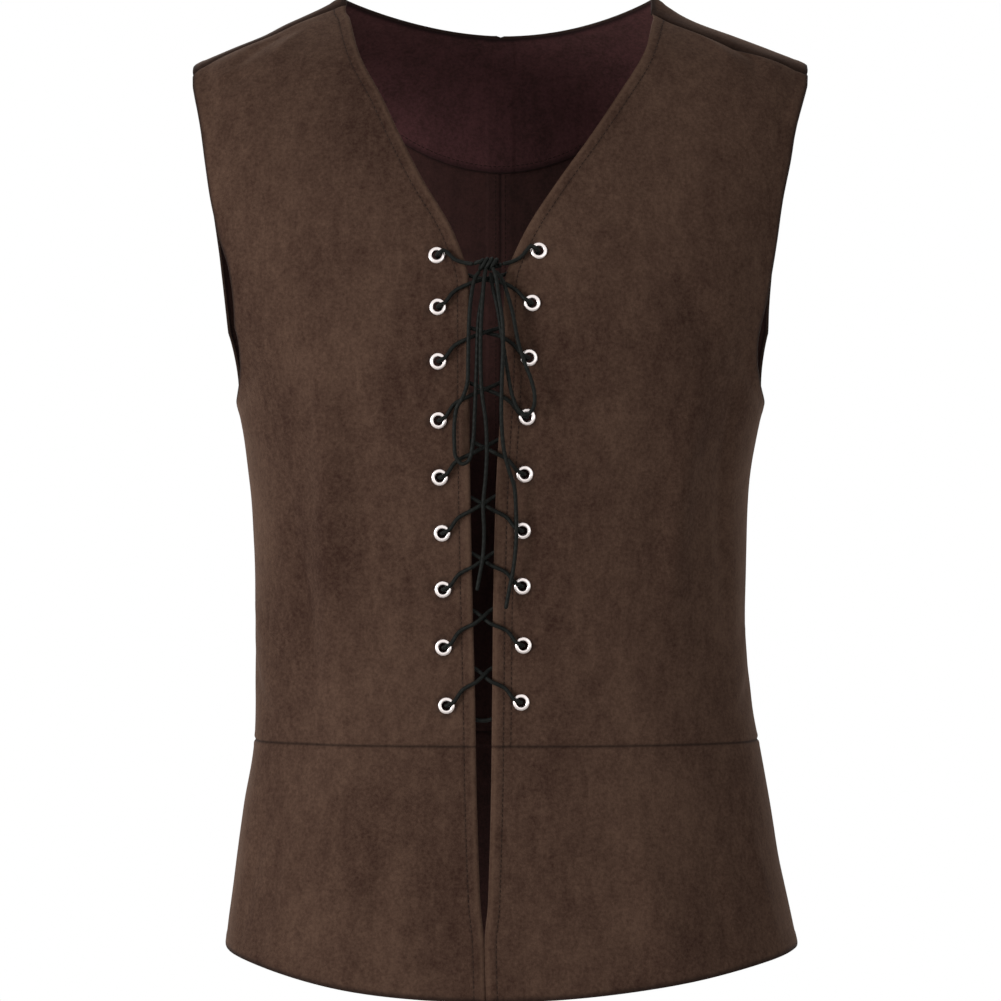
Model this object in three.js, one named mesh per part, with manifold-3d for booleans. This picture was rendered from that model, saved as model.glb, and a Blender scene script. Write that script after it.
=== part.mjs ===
// A sleeveless laced vest of soft suede cloth, filled out as it hangs on a wearer and open at the neck.
// Units are millimetres. +Z is up, -Y is the front and +X is the wearer's left.
// The origin is halfway between the two neck points, on the line where the shoulders carry the vest.
import * as THREE from "three";
import Module from "manifold-3d";
import { mergeVertices } from "three/addons/utils/BufferGeometryUtils.js";

const wasm = await Module();
wasm.setup();

// ---------- driving sizes ----------
const CLOTH = 1.6; // thickness of the suede cloth
const SEAM_GAP = 0.3; // between two pieces at a seam
const WAIST_Z = -499.5; // the seam that joins the bodice to the skirt panels
const ARMPIT_Z = -272; // lowest point of the armhole
const SCOOP_Z = -222; // where the armhole starts to turn towards the side seam
const SHOULDER_Z = -60; // above this the armhole follows the rounding of the shoulder
const NECK_X = { right: 107, left: 104 }; // from the middle to each neck point
const NECK_Z = 3; // height of the neck points
const BACK_NECK_Z = -17; // lowest point of the back neckline
const NECKLINE_ROUND = { right: 1.75, left: 2.1 }; // how late it rises towards each neck point
const NECK_FORWARD = { right: 10, left: 16 }; // how far the shoulder seams lie in front of the ridge
const TIP_FORWARD = { right: 26, left: 27 };
const SEAM_BOW = { right: 0, left: 11 }; // and further forward than that between their ends
const TIP_X = 206.8; // from the middle to the seam's outer ends
const VEE_Z = -192; // where the V of the neck ends and the laced opening begins
const HEM_FRONT_Z = -665;
const HEM_SIDE_Z = -638;
const HEM_BACK_Z = -648;
const HEM_ROUND = { right: 2, left: 1.5 }; // how late the hem rises towards each side seam
const SQUARENESS = 2.35; // exponent of the body's sections: 2 is an ellipse, and more is squarer

const HOLE_RADIUS = 3.9; // of the hole in the cloth, at its corners
const BORE_RADIUS = 2.8; // of the eyelet, which is pressed through that hole
const BARREL_RADIUS = 3.3;
const FLANGE_RADIUS = 5.7;
const WASHER_RADIUS = 4.8;
const FLANGE_RISE = 1.3; // the flange's crown stands this far off the cloth
const WASHER_DROP = 1.2; // the washer inside reaches this far behind the cloth
const EYELET_SIDES = 10;
const HOLE_SIDES = 8;
const CORD = 2.7; // diameter of the lace

const FACING = 1.2; // thickness of the back neck facing
const FACING_GAP = 0.7; // between the facing and the back panels
const FACING_LOW_Z = -106.5; // lowest point of the facing
const FACING_CURVE = 0.0043; // its edge rises by this times the square of the distance from the middle
const FACING_X = 143; // where that edge meets the shoulder

const RIGHT = -1; // the wearer's right, at -X
const LEFT = 1;

// Body sections from above the neck points to below the hem: half widths to each side, and depths.
const SECTIONS = [
  { z: 7, right: 99, left: 95, front: 4, back: 18 },
  { z: 3, right: 108, left: 104.5, front: 11, back: 27 },
  { z: -4, right: 121, left: 114.5, front: 22, back: 39 },
  { z: -10, right: 134, left: 124, front: 30, back: 48 },
  { z: -16, right: 147, left: 137, front: 38, back: 57 },
  { z: -24, right: 162, left: 159, front: 47, back: 67 },
  { z: -34, right: 186.5, left: 185.5, front: 56, back: 77 },
  { z: -44, right: 208, left: 209, front: 64, back: 85 },
  { z: -56, right: 221, left: 222, front: 72, back: 92 },
  { z: -72, right: 229, left: 228, front: 81, back: 99 },
  { z: -100, right: 229, left: 227, front: 94, back: 106 },
  { z: -134, right: 221, left: 217, front: 106, back: 111 },
  { z: -188, right: 206, left: 202, front: 118, back: 113 },
  { z: -235, right: 190, left: 189, front: 122, back: 110 },
  { z: -277, right: 177, left: 177, front: 121, back: 104 },
  { z: -324, right: 169.6, left: 168.2, front: 117, back: 95 },
  { z: -365, right: 166.6, left: 166.2, front: 113, back: 88 },
  { z: -420, right: 165.5, left: 165.2, front: 109, back: 82 },
  { z: -474, right: 165.5, left: 169.7, front: 107, back: 82 },
  { z: -505, right: 166.6, left: 175.3, front: 107, back: 85 },
  { z: -542, right: 173, left: 182, front: 109, back: 91 },
  { z: -583, right: 178.5, left: 188.5, front: 112, back: 97 },
  { z: -637, right: 185.5, left: 200.5, front: 116, back: 104 },
  { z: -690, right: 190, left: 210, front: 119, back: 109 },
];

// How far from the middle the upright edges of the armholes lie, on the front and the back panels.
const ARMHOLE = [
  { z: -60, frontRight: 206, frontLeft: 205.4, backRight: 207.5, backLeft: 207 },
  { z: -90, frontRight: 199.8, frontLeft: 196.6, backRight: 205, backLeft: 202 },
  { z: -112, frontRight: 196.6, frontLeft: 192.6, backRight: 202, backLeft: 197.5 },
  { z: -138, frontRight: 192.5, frontLeft: 187.2, backRight: 198.5, backLeft: 193 },
  { z: -165, frontRight: 186, frontLeft: 183.3, backRight: 194.5, backLeft: 189 },
  { z: -182, frontRight: 180.5, frontLeft: 180.6, backRight: 192.3, backLeft: 187.2 },
  { z: -205, frontRight: 177.3, frontLeft: 176.5, backRight: 189.3, backLeft: 185 },
  { z: -222, frontRight: 176.6, frontLeft: 172.5, backRight: 187, backLeft: 184 },
];

// Front edges of the two sides: the V of the neck, the laced opening, and the slit of the skirt.
const FRONT_EDGE = [
  { z: -12, right: -103, left: 104 },
  { z: -42, right: -94.5, left: 94.8 },
  { z: -70, right: -80, left: 78 },
  { z: -98, right: -67, left: 59.3 },
  { z: -128, right: -51.8, left: 37.8 },
  { z: -158, right: -34, left: 18.4 },
  { z: -183, right: -24, left: 6.8 },
  { z: -192, right: -21.8, left: 3.8 },
  { z: -207, right: -21.2, left: 2.8 },
  { z: -255, right: -20.4, left: 0.9 },
  { z: -325, right: -19.6, left: -3.4 },
  { z: -400, right: -18.2, left: -5.4 },
  { z: -470, right: -16.5, left: -6.1 },
  { z: -535, right: -15.4, left: -6.8 },
  { z: -600, right: -13.2, left: -8.4 },
  { z: -632, right: -11.4, left: -9.6 },
  { z: -666, right: -10.2, left: -9 },
];

// The two columns of eyelets from the top down, set by hand and so not quite straight: x and z.
const EYELET_PLACES = {
  right: [
    [-41.7, -177.8], [-40.9, -211.7], [-40.7, -247.2], [-40.5, -285.7], [-39.7, -322.9],
    [-38.2, -359.4], [-37.7, -396.3], [-37.4, -434.4], [-35.4, -472.6],
  ],
  left: [
    [25, -174.9], [20.6, -209.2], [18.6, -244.9], [17.3, -283.5], [15.8, -320.8],
    [14.4, -357.8], [14.3, -394.1], [14.9, -433], [13.5, -470.4],
  ],
};
const EYELET_ROWS = EYELET_PLACES.right.length;

// Soft folds of the hanging cloth: the turn round the body where each lies, its ends, half width and rise.
const FOLDS = [
  { turn: -37, top: -250, bottom: -560, wide: 7, rise: 1.8 },
  { turn: -49, top: -300, bottom: -680, wide: 8, rise: -2.4 },
  { turn: -70, top: -340, bottom: -720, wide: 9, rise: 2.4 },
  { turn: 52, top: -205, bottom: -480, wide: 8, rise: -2.6 },
  { turn: 66, top: -300, bottom: -700, wide: 9, rise: 2.2 },
  { turn: -28, top: -520, bottom: -780, wide: 10, rise: 1.8 },
  { turn: 33, top: -520, bottom: -780, wide: 11, rise: 1.8 },
  { turn: 118, top: -330, bottom: -610, wide: 10, rise: -3 },
  { turn: 134, top: -400, bottom: -760, wide: 10, rise: 2.4 },
  { turn: -116, top: -350, bottom: -640, wide: 10, rise: -2.6 },
  { turn: -130, top: -380, bottom: -740, wide: 10, rise: 2.6 },
  { turn: 158, top: -420, bottom: -700, wide: 9, rise: -2 },
  { turn: -156, top: -390, bottom: -650, wide: 9, rise: -2.2 },
];

// Route of each hanging stretch of the lace: x, z and height off the cloth's middle surface.
const KNOT = { x: -8.2, z: -184.5, height: 4.5, wide: 9, deep: 5, tall: 5 };
const HANGING = [
  {
    name: "bow_loop_right",
    route: [
      [-13.3, -189, 4.8], [-16.4, -193.6, 5.8], [-19, -206, 6.8], [-20.4, -225, 7],
      [-20.8, -246, 7], [-21.5, -262, 7.2], [-24.5, -271, 7.6], [-28, -277, 7.4],
      [-29.6, -288, 7], [-29.6, -300, 7], [-28.6, -309, 7.4], [-24.6, -313.4, 8],
      [-20.4, -311, 8], [-17.8, -300, 7.4], [-16.6, -280, 7], [-15.4, -250, 6.8],
      [-14.2, -220, 6.8], [-11.6, -204, 6.4], [-10, -190, 4.8],
    ],
  },
  {
    name: "bow_loop_left",
    route: [
      [-3.1, -189, 4.8], [0.6, -194, 6.4], [7.2, -214, 8], [11.4, -235, 8.4], [15.4, -248, 8.6],
      [19.6, -259, 8.8], [21.8, -269, 9], [21, -277, 9.2], [17, -281.5, 9.2], [12, -279, 8.8],
      [7.8, -270, 8.4], [4.2, -252, 7.8], [1, -232, 7.2], [-2.2, -212, 7], [-5, -200, 6.2],
      [-6.5, -190, 4.8],
    ],
  },
  {
    name: "lace_end_right",
    route: [
      [-9.3, -188, 8.7], [-10.4, -194, 10.4], [-11.4, -206, 10.4], [-12.6, -226, 10.4], [-12.8, -248, 10.2],
      [-12, -267, 10], [-9.6, -285, 9.8], [-8.8, -304, 9.6], [-9.6, -322, 9], [-11.2, -340, 8.4],
      [-10.6, -358, 7.6], [-11.4, -374, 7.2], [-13.8, -388, 7], [-15.2, -396.5, 7],
    ],
  },
  {
    name: "lace_end_left",
    route: [
      [-5.2, -187.5, 8.8], [-3.2, -193, 10.6], [-1.2, -206, 11], [1.2, -222, 11.4], [1.6, -240, 11.4], [0.8, -262, 11.2],
      [0.6, -285, 10.6], [2.2, -304, 9.6], [5.6, -318, 8.6], [8.8, -328, 7.6], [10, -344, 7],
      [10.2, -362, 6.8], [8.6, -380, 6.8], [5.6, -396, 6.8], [3.4, -408.5, 6.8],
    ],
  },
];

// Quads along and up the panels.
const COLUMNS = 12;
const SIDE_ROWS = 7;
const SCOOP_ROWS = 5;
const ARM_ROWS = 7;
const OPENING_ROWS = 10;
const NECKLINE_ROWS = 6;
const SKIRT_ROWS = 6;
const FACING_ROWS = 4;
const BODICE_ROWS = SIDE_ROWS + SCOOP_ROWS + ARM_ROWS;

// ---------- the worn surface ----------
const lerp = (a, b, t) => a + (b - a) * t;
const radians = THREE.MathUtils.degToRad;

// A value of a table whose rows run down in z, smoothed between its rows without overshoot.
function tableValue(table, name, z) {
  let i = 0;
  while (i < table.length - 2 && z < table[i + 1].z) i += 1;
  const above = table[i];
  const below = table[i + 1];
  const slope = (p, q) => (q[name] - p[name]) / (q.z - p.z);
  const here = slope(above, below);
  const tame = (m) => (m * here <= 0 ? 0 : Math.sign(here) * Math.min(Math.abs(m), 3 * Math.abs(here)));
  const run = below.z - above.z;
  const m0 = (i > 0 ? tame(slope(table[i - 1], below)) : here) * run;
  const m1 = (i < table.length - 2 ? tame(slope(above, table[i + 2])) : here) * run;
  const t = Math.min(Math.max((z - above.z) / run, 0), 1);
  const t2 = t * t;
  const t3 = t2 * t;
  const from = (2 * t3 - 3 * t2 + 1) * above[name] + (t3 - 2 * t2 + t) * m0;
  return from + (3 * t2 - 2 * t3) * below[name] + (t3 - t2) * m1;
}

const sideName = (side) => (side < 0 ? "right" : "left");

// How far the folds push the cloth outwards at a place.
function foldRise(turn, z) {
  let rise = 0;
  for (const fold of FOLDS) {
    const along = (z - fold.bottom) / (fold.top - fold.bottom);
    if (along <= 0 || along >= 1) continue;
    const away = ((((turn - fold.turn) % 360) + 540) % 360) - 180;
    rise += fold.rise * Math.sin(Math.PI * along) ** 1.5 * Math.exp(-((away / fold.wide) ** 2));
  }
  return rise;
}

// A point on the middle of the cloth. turn is 0 at the front, 90 at the left side and 180 at the back.
function clothPoint({ turn, z }) {
  const s = Math.sin(radians(turn));
  const c = Math.cos(radians(turn));
  const wide = tableValue(SECTIONS, sideName(s), z);
  const deep = tableValue(SECTIONS, c > 0 ? "front" : "back", z);
  const x = Math.sign(s) * wide * Math.abs(s) ** (2 / SQUARENESS);
  const y = -Math.sign(c) * deep * Math.abs(c) ** (2 / SQUARENESS);
  const out = new THREE.Vector2(x / wide ** 2, y / deep ** 2).setLength(foldRise(turn, z));
  return new THREE.Vector3(x + out.x, y + out.y, z);
}

// The outward direction there.
function clothNormal({ turn, z }) {
  const reach = 0.6;
  const around = clothPoint({ turn: turn + reach, z }).sub(clothPoint({ turn: turn - reach, z }));
  const up = clothPoint({ turn, z: z + reach }).sub(clothPoint({ turn, z: z - reach }));
  return around.cross(up).normalize();
}

// The turn at which the section at z has the given x, on the front or the back.
function turnAt(x, z, back = false) {
  const share = Math.min(Math.abs(x) / tableValue(SECTIONS, sideName(x), z), 1);
  const turn = THREE.MathUtils.radToDeg(Math.asin(share ** (SQUARENESS / 2)));
  return Math.sign(x) * (back ? 180 - turn : turn);
}

// The place near the shoulder's ridge that has the given turn and x.
function ridgePlace(turn, x) {
  const across = Math.abs(Math.sin(radians(turn))) ** (2 / SQUARENESS);
  let low = -90;
  let high = 3;
  for (let i = 0; i < 30; i += 1) {
    const z = (low + high) / 2;
    if (tableValue(SECTIONS, sideName(x), z) * across < Math.abs(x)) high = z;
    else low = z;
  }
  return { turn, z: low };
}

// A point at x and z on the front, at a height off the cloth's middle surface.
function onFront(x, z, height) {
  const place = { turn: turnAt(x, z), z };
  return clothPoint(place).addScaledVector(clothNormal(place), height);
}

// ---------- edges, each a list of places ----------
// count + 1 places evenly spaced along a path, which is a function of 0 to 1.
function evenly(path, count) {
  const fine = 200;
  const places = Array.from({ length: fine + 1 }, (_, i) => path(i / fine));
  const points = places.map(clothPoint);
  const gone = [0];
  for (let i = 1; i <= fine; i += 1) gone.push(gone[i - 1] + points[i].distanceTo(points[i - 1]));
  let i = 0;
  return Array.from({ length: count + 1 }, (_, k) => {
    const wanted = (gone[fine] * k) / count;
    while (i < fine - 1 && gone[i + 1] < wanted) i += 1;
    const t = Math.min((wanted - gone[i]) / (gone[i + 1] - gone[i]), 1);
    return { turn: lerp(places[i].turn, places[i + 1].turn, t), z: lerp(places[i].z, places[i + 1].z, t) };
  });
}

const joined = (...edges) => edges.flatMap((edge, i) => (i ? edge.slice(1) : edge));
const frontEdgeX = (side, z) => tableValue(FRONT_EDGE, sideName(side), z);
const frontEdgePlace = (side, z) => ({ turn: turnAt(frontEdgeX(side, z), z), z });

const seamStart = (side) => NECK_X[sideName(side)] - 1.5; // from the middle to the seam's inner end

// The shoulder seam, from the neck at 0 to the tip at 1.
function shoulderSeam(side, t) {
  const x = side * lerp(seamStart(side), TIP_X, t);
  const name = sideName(side);
  const bow = SEAM_BOW[name] * Math.max(Math.sin(t * Math.PI), 0) ** 0.6;
  const forward = lerp(NECK_FORWARD[name], TIP_FORWARD[name], t) + bow;
  let near = 90;
  let far = 20;
  for (let i = 0; i < 30; i += 1) {
    const turn = (near + far) / 2;
    if (-clothPoint(ridgePlace(side * turn, x)).y < forward) near = turn;
    else far = turn;
  }
  return ridgePlace(side * near, x);
}

// From the armhole's upright edge over the shoulder to the end of the shoulder seam.
function armholeUpper(side, back) {
  const seam = shoulderSeam(side, 1);
  const name = (back ? "back" : "front") + (side < 0 ? "Right" : "Left");
  const upright = (z) => ({ turn: turnAt(side * tableValue(ARMHOLE, name, z), z, back), z });
  const over = upright(SHOULDER_Z);
  const overX = tableValue(ARMHOLE, name, SHOULDER_Z);
  const share = back ? 0.7 : 0.86; // of the path that is upright
  return (t) => {
    if (t < share) return upright(lerp(SCOOP_Z, SHOULDER_Z, t / share));
    const u = (t - share) / (1 - share);
    return ridgePlace(lerp(over.turn, seam.turn, u), side * lerp(overX, TIP_X, u));
  };
}

// From the top of the side seam to the armhole's upright edge, a quarter of an oval.
function armholeScoop(side, back) {
  const end = armholeUpper(side, back)(0);
  return (t) => ({
    turn: lerp(side * 90, end.turn, Math.sin((t * Math.PI) / 2)),
    z: lerp(SCOOP_Z, ARMPIT_Z, Math.cos((t * Math.PI) / 2)),
  });
}

const outerEdge = (side, back) =>
  joined(
    evenly((t) => ({ turn: side * 90, z: lerp(WAIST_Z, ARMPIT_Z, t) }), SIDE_ROWS),
    evenly(armholeScoop(side, back), SCOOP_ROWS),
    evenly(armholeUpper(side, back), ARM_ROWS),
  );

// The opening's edge up to the V, and the V up to the shoulder seam.
function frontInnerEdge(side) {
  const seam = shoulderSeam(side, 0);
  const top = FRONT_EDGE[0].z;
  const straight = 0.95;
  const vee = (t) => {
    if (t < straight) return frontEdgePlace(side, lerp(VEE_Z, top, t / straight));
    const u = (t - straight) / (1 - straight);
    const from = frontEdgePlace(side, top);
    return { turn: lerp(from.turn, seam.turn, u), z: lerp(from.z, seam.z, u) };
  };
  return joined(
    evenly((t) => frontEdgePlace(side, lerp(WAIST_Z, VEE_Z, t)), OPENING_ROWS),
    evenly(vee, BODICE_ROWS - OPENING_ROWS),
  );
}

// The neckline from the middle of the back over the ridge to the shoulder seam.
function backNeckline(side) {
  const seam = shoulderSeam(side, 0);
  const share = 0.9; // of the path that lies behind the ridge
  const neckX = NECK_X[sideName(side)];
  const behind = (t) => {
    const out = Math.sin((t * Math.PI) / 2);
    const z = lerp(BACK_NECK_Z, NECK_Z, out ** NECKLINE_ROUND[sideName(side)]);
    return { turn: out === 0 ? side * 180 : turnAt(side * neckX * out, z, true), z };
  };
  const ridge = behind(1);
  return (t) => {
    if (t < share) return behind(t / share);
    const u = (t - share) / (1 - share);
    return ridgePlace(lerp(ridge.turn, seam.turn, u), side * lerp(neckX, seamStart(side), u));
  };
}

const backInnerEdge = (side) =>
  joined(
    evenly((t) => ({ turn: side * 180, z: lerp(WAIST_Z, BACK_NECK_Z, t) }), BODICE_ROWS - NECKLINE_ROWS),
    evenly(backNeckline(side), NECKLINE_ROWS),
  );

// The share of the shoulder seam that the facing reaches along.
const facingSeamShare = (side) => (FACING_X - seamStart(side)) / (TIP_X - seamStart(side));

// The facing's lower edge from the middle of the back to the shoulder seam.
function facingEdge(side) {
  const seam = shoulderSeam(side, facingSeamShare(side));
  const share = 0.84; // of the path that lies behind the ridge
  const curve = (x) => {
    const z = FACING_LOW_Z + FACING_CURVE * x * x;
    return { turn: x === 0 ? side * 180 : turnAt(x, z, true), z };
  };
  const end = curve(side * FACING_X);
  return (t) => {
    if (t < share) return curve((side * FACING_X * t) / share);
    return ridgePlace(lerp(end.turn, seam.turn, (t - share) / (1 - share)), side * FACING_X);
  };
}

// The hem's height at a turn.
function hemZ(turn) {
  const s = Math.sin(radians(turn));
  const middle = Math.cos(radians(turn)) > 0 ? HEM_FRONT_Z : HEM_BACK_Z;
  return lerp(middle, HEM_SIDE_Z, Math.abs(s) ** HEM_ROUND[sideName(s)]);
}

// ---------- solids ----------
// A grid of places that fills four edges, each a list of places: a Coons patch.
function fill({ bottom, top, inner, outer }) {
  const rows = inner.length - 1;
  const columns = bottom.length - 1;
  return inner.map((from, j) => {
    const s = j / rows;
    return bottom.map((under, i) => {
      const t = i / columns;
      const mix = (key) => {
        const edges = lerp(under[key], top[i][key], s) + lerp(from[key], outer[j][key], t);
        const low = lerp(bottom[0][key], bottom[columns][key], t);
        const high = lerp(top[0][key], top[columns][key], t);
        return edges - lerp(low, high, s);
      };
      return { turn: mix("turn"), z: mix("z") };
    });
  });
}

const onCloth = (place) => ({ point: clothPoint(place), normal: clothNormal(place) });

// The same for a place on a panel's own flat facets. The panel's grid is split as its wall is.
function onFacets(grid, place) {
  const best = { depth: -Infinity };
  const flat = ({ turn, z }) => new THREE.Vector3(turn, z, 0);
  const target = flat(place);
  for (let j = 0; j < grid.length - 1; j += 1) {
    for (let i = 0; i < grid[0].length - 1; i += 1) {
      const far = grid[j + 1][i + 1];
      for (const side of [grid[j][i + 1], grid[j + 1][i]]) {
        const corners = [grid[j][i], side, far];
        const shares = new THREE.Triangle(...corners.map(flat)).getBarycoord(target, new THREE.Vector3());
        const depth = shares ? Math.min(shares.x, shares.y, shares.z) : -Infinity;
        if (depth > best.depth) Object.assign(best, { depth, corners, shares: shares.toArray() });
      }
    }
  }
  const mixed = (of) =>
    best.corners.reduce((sum, corner, k) => sum.addScaledVector(of(corner), best.shares[k]), new THREE.Vector3());
  return { point: mixed(clothPoint), normal: mixed(clothNormal).normalize() };
}

// A wall of cloth over a grid of points and their normals, between two heights off those points.
// sewn says which of its edges meet a neighbour: these are drawn in by half of the seam's gap.
function wall(grid, low, high, sewn = {}) {
  const rows = grid.length;
  const columns = grid[0].length;
  const points = grid.map((row) => row.map(({ point }) => point.clone()));
  const normals = grid.map((row) => row.map(({ normal }) => normal));
  const drawIn = (edge, next) => edge.add(next.clone().sub(edge).setLength(SEAM_GAP / 2));
  const { inner = -1, outer = -1, bottom = false, top = false } = sewn;
  points.forEach((row, j) => {
    if (j <= inner) drawIn(row[0], row[1]);
    if (j <= outer) drawIn(row[columns - 1], row[columns - 2]);
  });
  if (bottom) points[0].forEach((point, i) => drawIn(point, points[1][i]));
  if (top) points[rows - 1].forEach((point, i) => drawIn(point, points[rows - 2][i]));

  const corners = [];
  for (const height of [high, low]) {
    points.flat().forEach((point, i) => {
      corners.push(...point.clone().addScaledVector(normals.flat()[i], height).toArray());
    });
  }
  const across = points[0][1].clone().sub(points[0][0]);
  const up = points[1][0].clone().sub(points[0][0]);
  const facesOut = across.cross(up).dot(normals[0][0]) > 0;
  const faces = [];
  const quad = (p, q, r, s) => faces.push(...(facesOut ? [p, q, r, p, r, s] : [p, r, q, p, s, r]));
  const at = (j, i) => j * columns + i;
  const back = rows * columns;
  for (let j = 0; j < rows - 1; j += 1) {
    for (let i = 0; i < columns - 1; i += 1) {
      quad(at(j, i), at(j, i + 1), at(j + 1, i + 1), at(j + 1, i));
      quad(back + at(j, i), back + at(j + 1, i), back + at(j + 1, i + 1), back + at(j, i + 1));
    }
  }
  const rim = (p, q) => quad(p, back + p, back + q, q);
  for (let i = 0; i < columns - 1; i += 1) {
    rim(at(0, i), at(0, i + 1));
    rim(at(rows - 1, i + 1), at(rows - 1, i));
  }
  for (let j = 0; j < rows - 1; j += 1) {
    rim(at(j, columns - 1), at(j + 1, columns - 1));
    rim(at(j + 1, 0), at(j, 0));
  }
  const geometry = new THREE.BufferGeometry();
  geometry.setAttribute("position", new THREE.Float32BufferAttribute(corners, 3));
  geometry.setIndex(faces);
  return geometry;
}

function toSolid(geometry) {
  const bare = geometry.clone();
  bare.deleteAttribute("normal");
  bare.deleteAttribute("uv");
  const shared = mergeVertices(bare);
  const triVerts = new Uint32Array(shared.index.array);
  return new wasm.Manifold(
    new wasm.Mesh({ numProp: 3, vertProperties: shared.attributes.position.array, triVerts }),
  );
}

function toGeometry(solid) {
  const mesh = solid.getMesh();
  const geometry = new THREE.BufferGeometry();
  geometry.setAttribute("position", new THREE.BufferAttribute(mesh.vertProperties, 3));
  geometry.setIndex(new THREE.BufferAttribute(mesh.triVerts, 1));
  return geometry;
}

// ---------- eyelets ----------
const eyelets = [RIGHT, LEFT].flatMap((side) =>
  EYELET_PLACES[sideName(side)].map(([x, z], row) => {
    const out = clothNormal({ turn: turnAt(x, z), z });
    return { side, name: sideName(side), row, x, z, centre: onFront(x, z, 0), out };
  }),
);

const AXIS = new THREE.Vector3(0, 1, 0);
const turnTo = (out) => new THREE.Quaternion().setFromUnitVectors(AXIS, out);

function eyeletGeometry() {
  const face = CLOTH / 2;
  const crown = (BORE_RADIUS + FLANGE_RADIUS) / 2;
  const under = face + SEAM_GAP + 0.1;
  const washerTop = -face - SEAM_GAP - 0.3;
  const washerLow = -face - WASHER_DROP;
  const profile = [
    [BORE_RADIUS, washerLow],
    [WASHER_RADIUS, washerLow],
    [WASHER_RADIUS, washerTop],
    [BARREL_RADIUS, washerTop],
    [BARREL_RADIUS, under],
    [FLANGE_RADIUS, under],
    [crown, face + FLANGE_RISE],
    [BORE_RADIUS, face + 0.5],
    [BORE_RADIUS, washerLow],
  ];
  return new THREE.LatheGeometry(profile.map(([r, h]) => new THREE.Vector2(r, h)), EYELET_SIDES);
}

// A panel with a hole for each of its eyelets.
function punched(geometry, side) {
  let solid = toSolid(geometry);
  for (const eyelet of eyelets.filter((one) => one.side === side)) {
    const punch = new THREE.CylinderGeometry(HOLE_RADIUS, HOLE_RADIUS, 12, HOLE_SIDES);
    punch.applyQuaternion(turnTo(eyelet.out)).translate(...eyelet.centre.toArray());
    solid = solid.subtract(toSolid(punch));
  }
  return toGeometry(solid);
}

// ---------- the lace ----------
// A curve through its points that spends an equal share of its steps between each two of them.
class Route extends THREE.CatmullRomCurve3 {
  getUtoTmapping(u) {
    return u;
  }
}

function cordGeometry(points, sides) {
  const section = new THREE.Shape(
    Array.from({ length: sides }, (_, i) => {
      const angle = (i * 2 * Math.PI) / sides;
      return new THREE.Vector2(Math.cos(angle), Math.sin(angle)).multiplyScalar(CORD / 2);
    }),
  );
  const extrudePath = new Route(points);
  return new THREE.ExtrudeGeometry(section, { steps: points.length - 1, extrudePath, curveSegments: 1 });
}

// The lace's centre line while it lies on the cloth, behind it and over an eyelet's flange.
const ON_CLOTH = CLOTH / 2 + CORD / 2 + 0.35;
const BEHIND = -ON_CLOTH;
const OVER_FLANGE = CLOTH / 2 + FLANGE_RISE + CORD / 2 + 0.35;
const BEHIND_WASHER = -(CLOTH / 2 + WASHER_DROP + CORD / 2 + 0.35);

const eyeletAt = (side, row) => eyelets.find((one) => one.side === side && one.row === row);

// Up through an eyelet from inside, as points off its axis towards the opening.
function throughEyelet({ side, x, z }) {
  const steps = [
    [4.6, -2.6, BEHIND_WASHER],
    [1.6, -0.8, BEHIND_WASHER],
    [0, 0, -1.5],
    [0, 0, 1.5],
    [1.6, 0.8, OVER_FLANGE],
    [4.8, 2.4, OVER_FLANGE],
  ];
  return steps.map(([inward, rise, height]) => onFront(x - side * inward, z + rise, height));
}

// From one eyelet over its own panel's edge, across the opening, and behind the other side to the next row.
function crossing(from, to, over) {
  const clear = 1; // of an edge, where the lace turns
  const rise = (share) => lerp(from.z, to.z, share);
  const nearEdge = frontEdgeX(from.side, rise(0.4));
  const farEdge = frontEdgeX(to.side, rise(0.6));
  const middle = (nearEdge + farEdge) / 2;
  return [
    onFront(from.x - from.side * 10.5, rise(0.26), ON_CLOTH),
    onFront(nearEdge - from.side * clear, rise(0.4), ON_CLOTH + 0.4),
    onFront(middle, rise(0.5), over ? 1.8 : -1.8),
    onFront(farEdge - to.side * clear, rise(0.6), BEHIND - 0.3),
    onFront(to.x - to.side * 9.5, rise(0.76), BEHIND),
  ];
}

// One half of the lacing, from the bottom row up to the top one.
function lacingUp(startSide) {
  const points = [];
  for (let row = EYELET_ROWS - 1; row >= 0; row -= 1) {
    const side = (EYELET_ROWS - 1 - row) % 2 ? -startSide : startSide;
    const here = eyeletAt(side, row);
    points.push(...throughEyelet(here));
    const over = (row % 2 === 0) === (startSide === RIGHT);
    if (row > 0) points.push(...crossing(here, eyeletAt(-side, row - 1), over));
  }
  return points;
}

// The whole held lace: from the knot down one half, across inside at the bottom, and up the other.
function laceRoute() {
  const toKnot = (side) => {
    const end = KNOT.x + side * (KNOT.wide + 0.35);
    const top = eyeletAt(side, 0);
    return [
      onFront(lerp(top.x, end, 0.5), lerp(top.z, KNOT.z, 0.5), ON_CLOTH + 0.4),
      onFront(lerp(top.x, end, 0.78), lerp(top.z, KNOT.z, 0.85), ON_CLOTH + 0.8),
      onFront(end, KNOT.z, KNOT.height),
    ];
  };
  const low = EYELET_ROWS - 1;
  const [first, last] = [eyeletAt(RIGHT, low), eyeletAt(LEFT, low)];
  const sag = [0.25, 0.5, 0.75].map((t) => {
    const z = lerp(first.z, last.z, t) - 11 * Math.sin(t * Math.PI);
    return onFront(lerp(first.x, last.x, t), z, BEHIND - 1.5);
  });
  const right = [...lacingUp(RIGHT), ...toKnot(RIGHT)].reverse();
  return [...right, ...sag, ...lacingUp(LEFT), ...toKnot(LEFT)];
}

// ---------- panels ----------
const OUT = CLOTH / 2;

const panel = (grid, sewn) => wall(grid.map((row) => row.map(onCloth)), -OUT, OUT, sewn);

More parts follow.
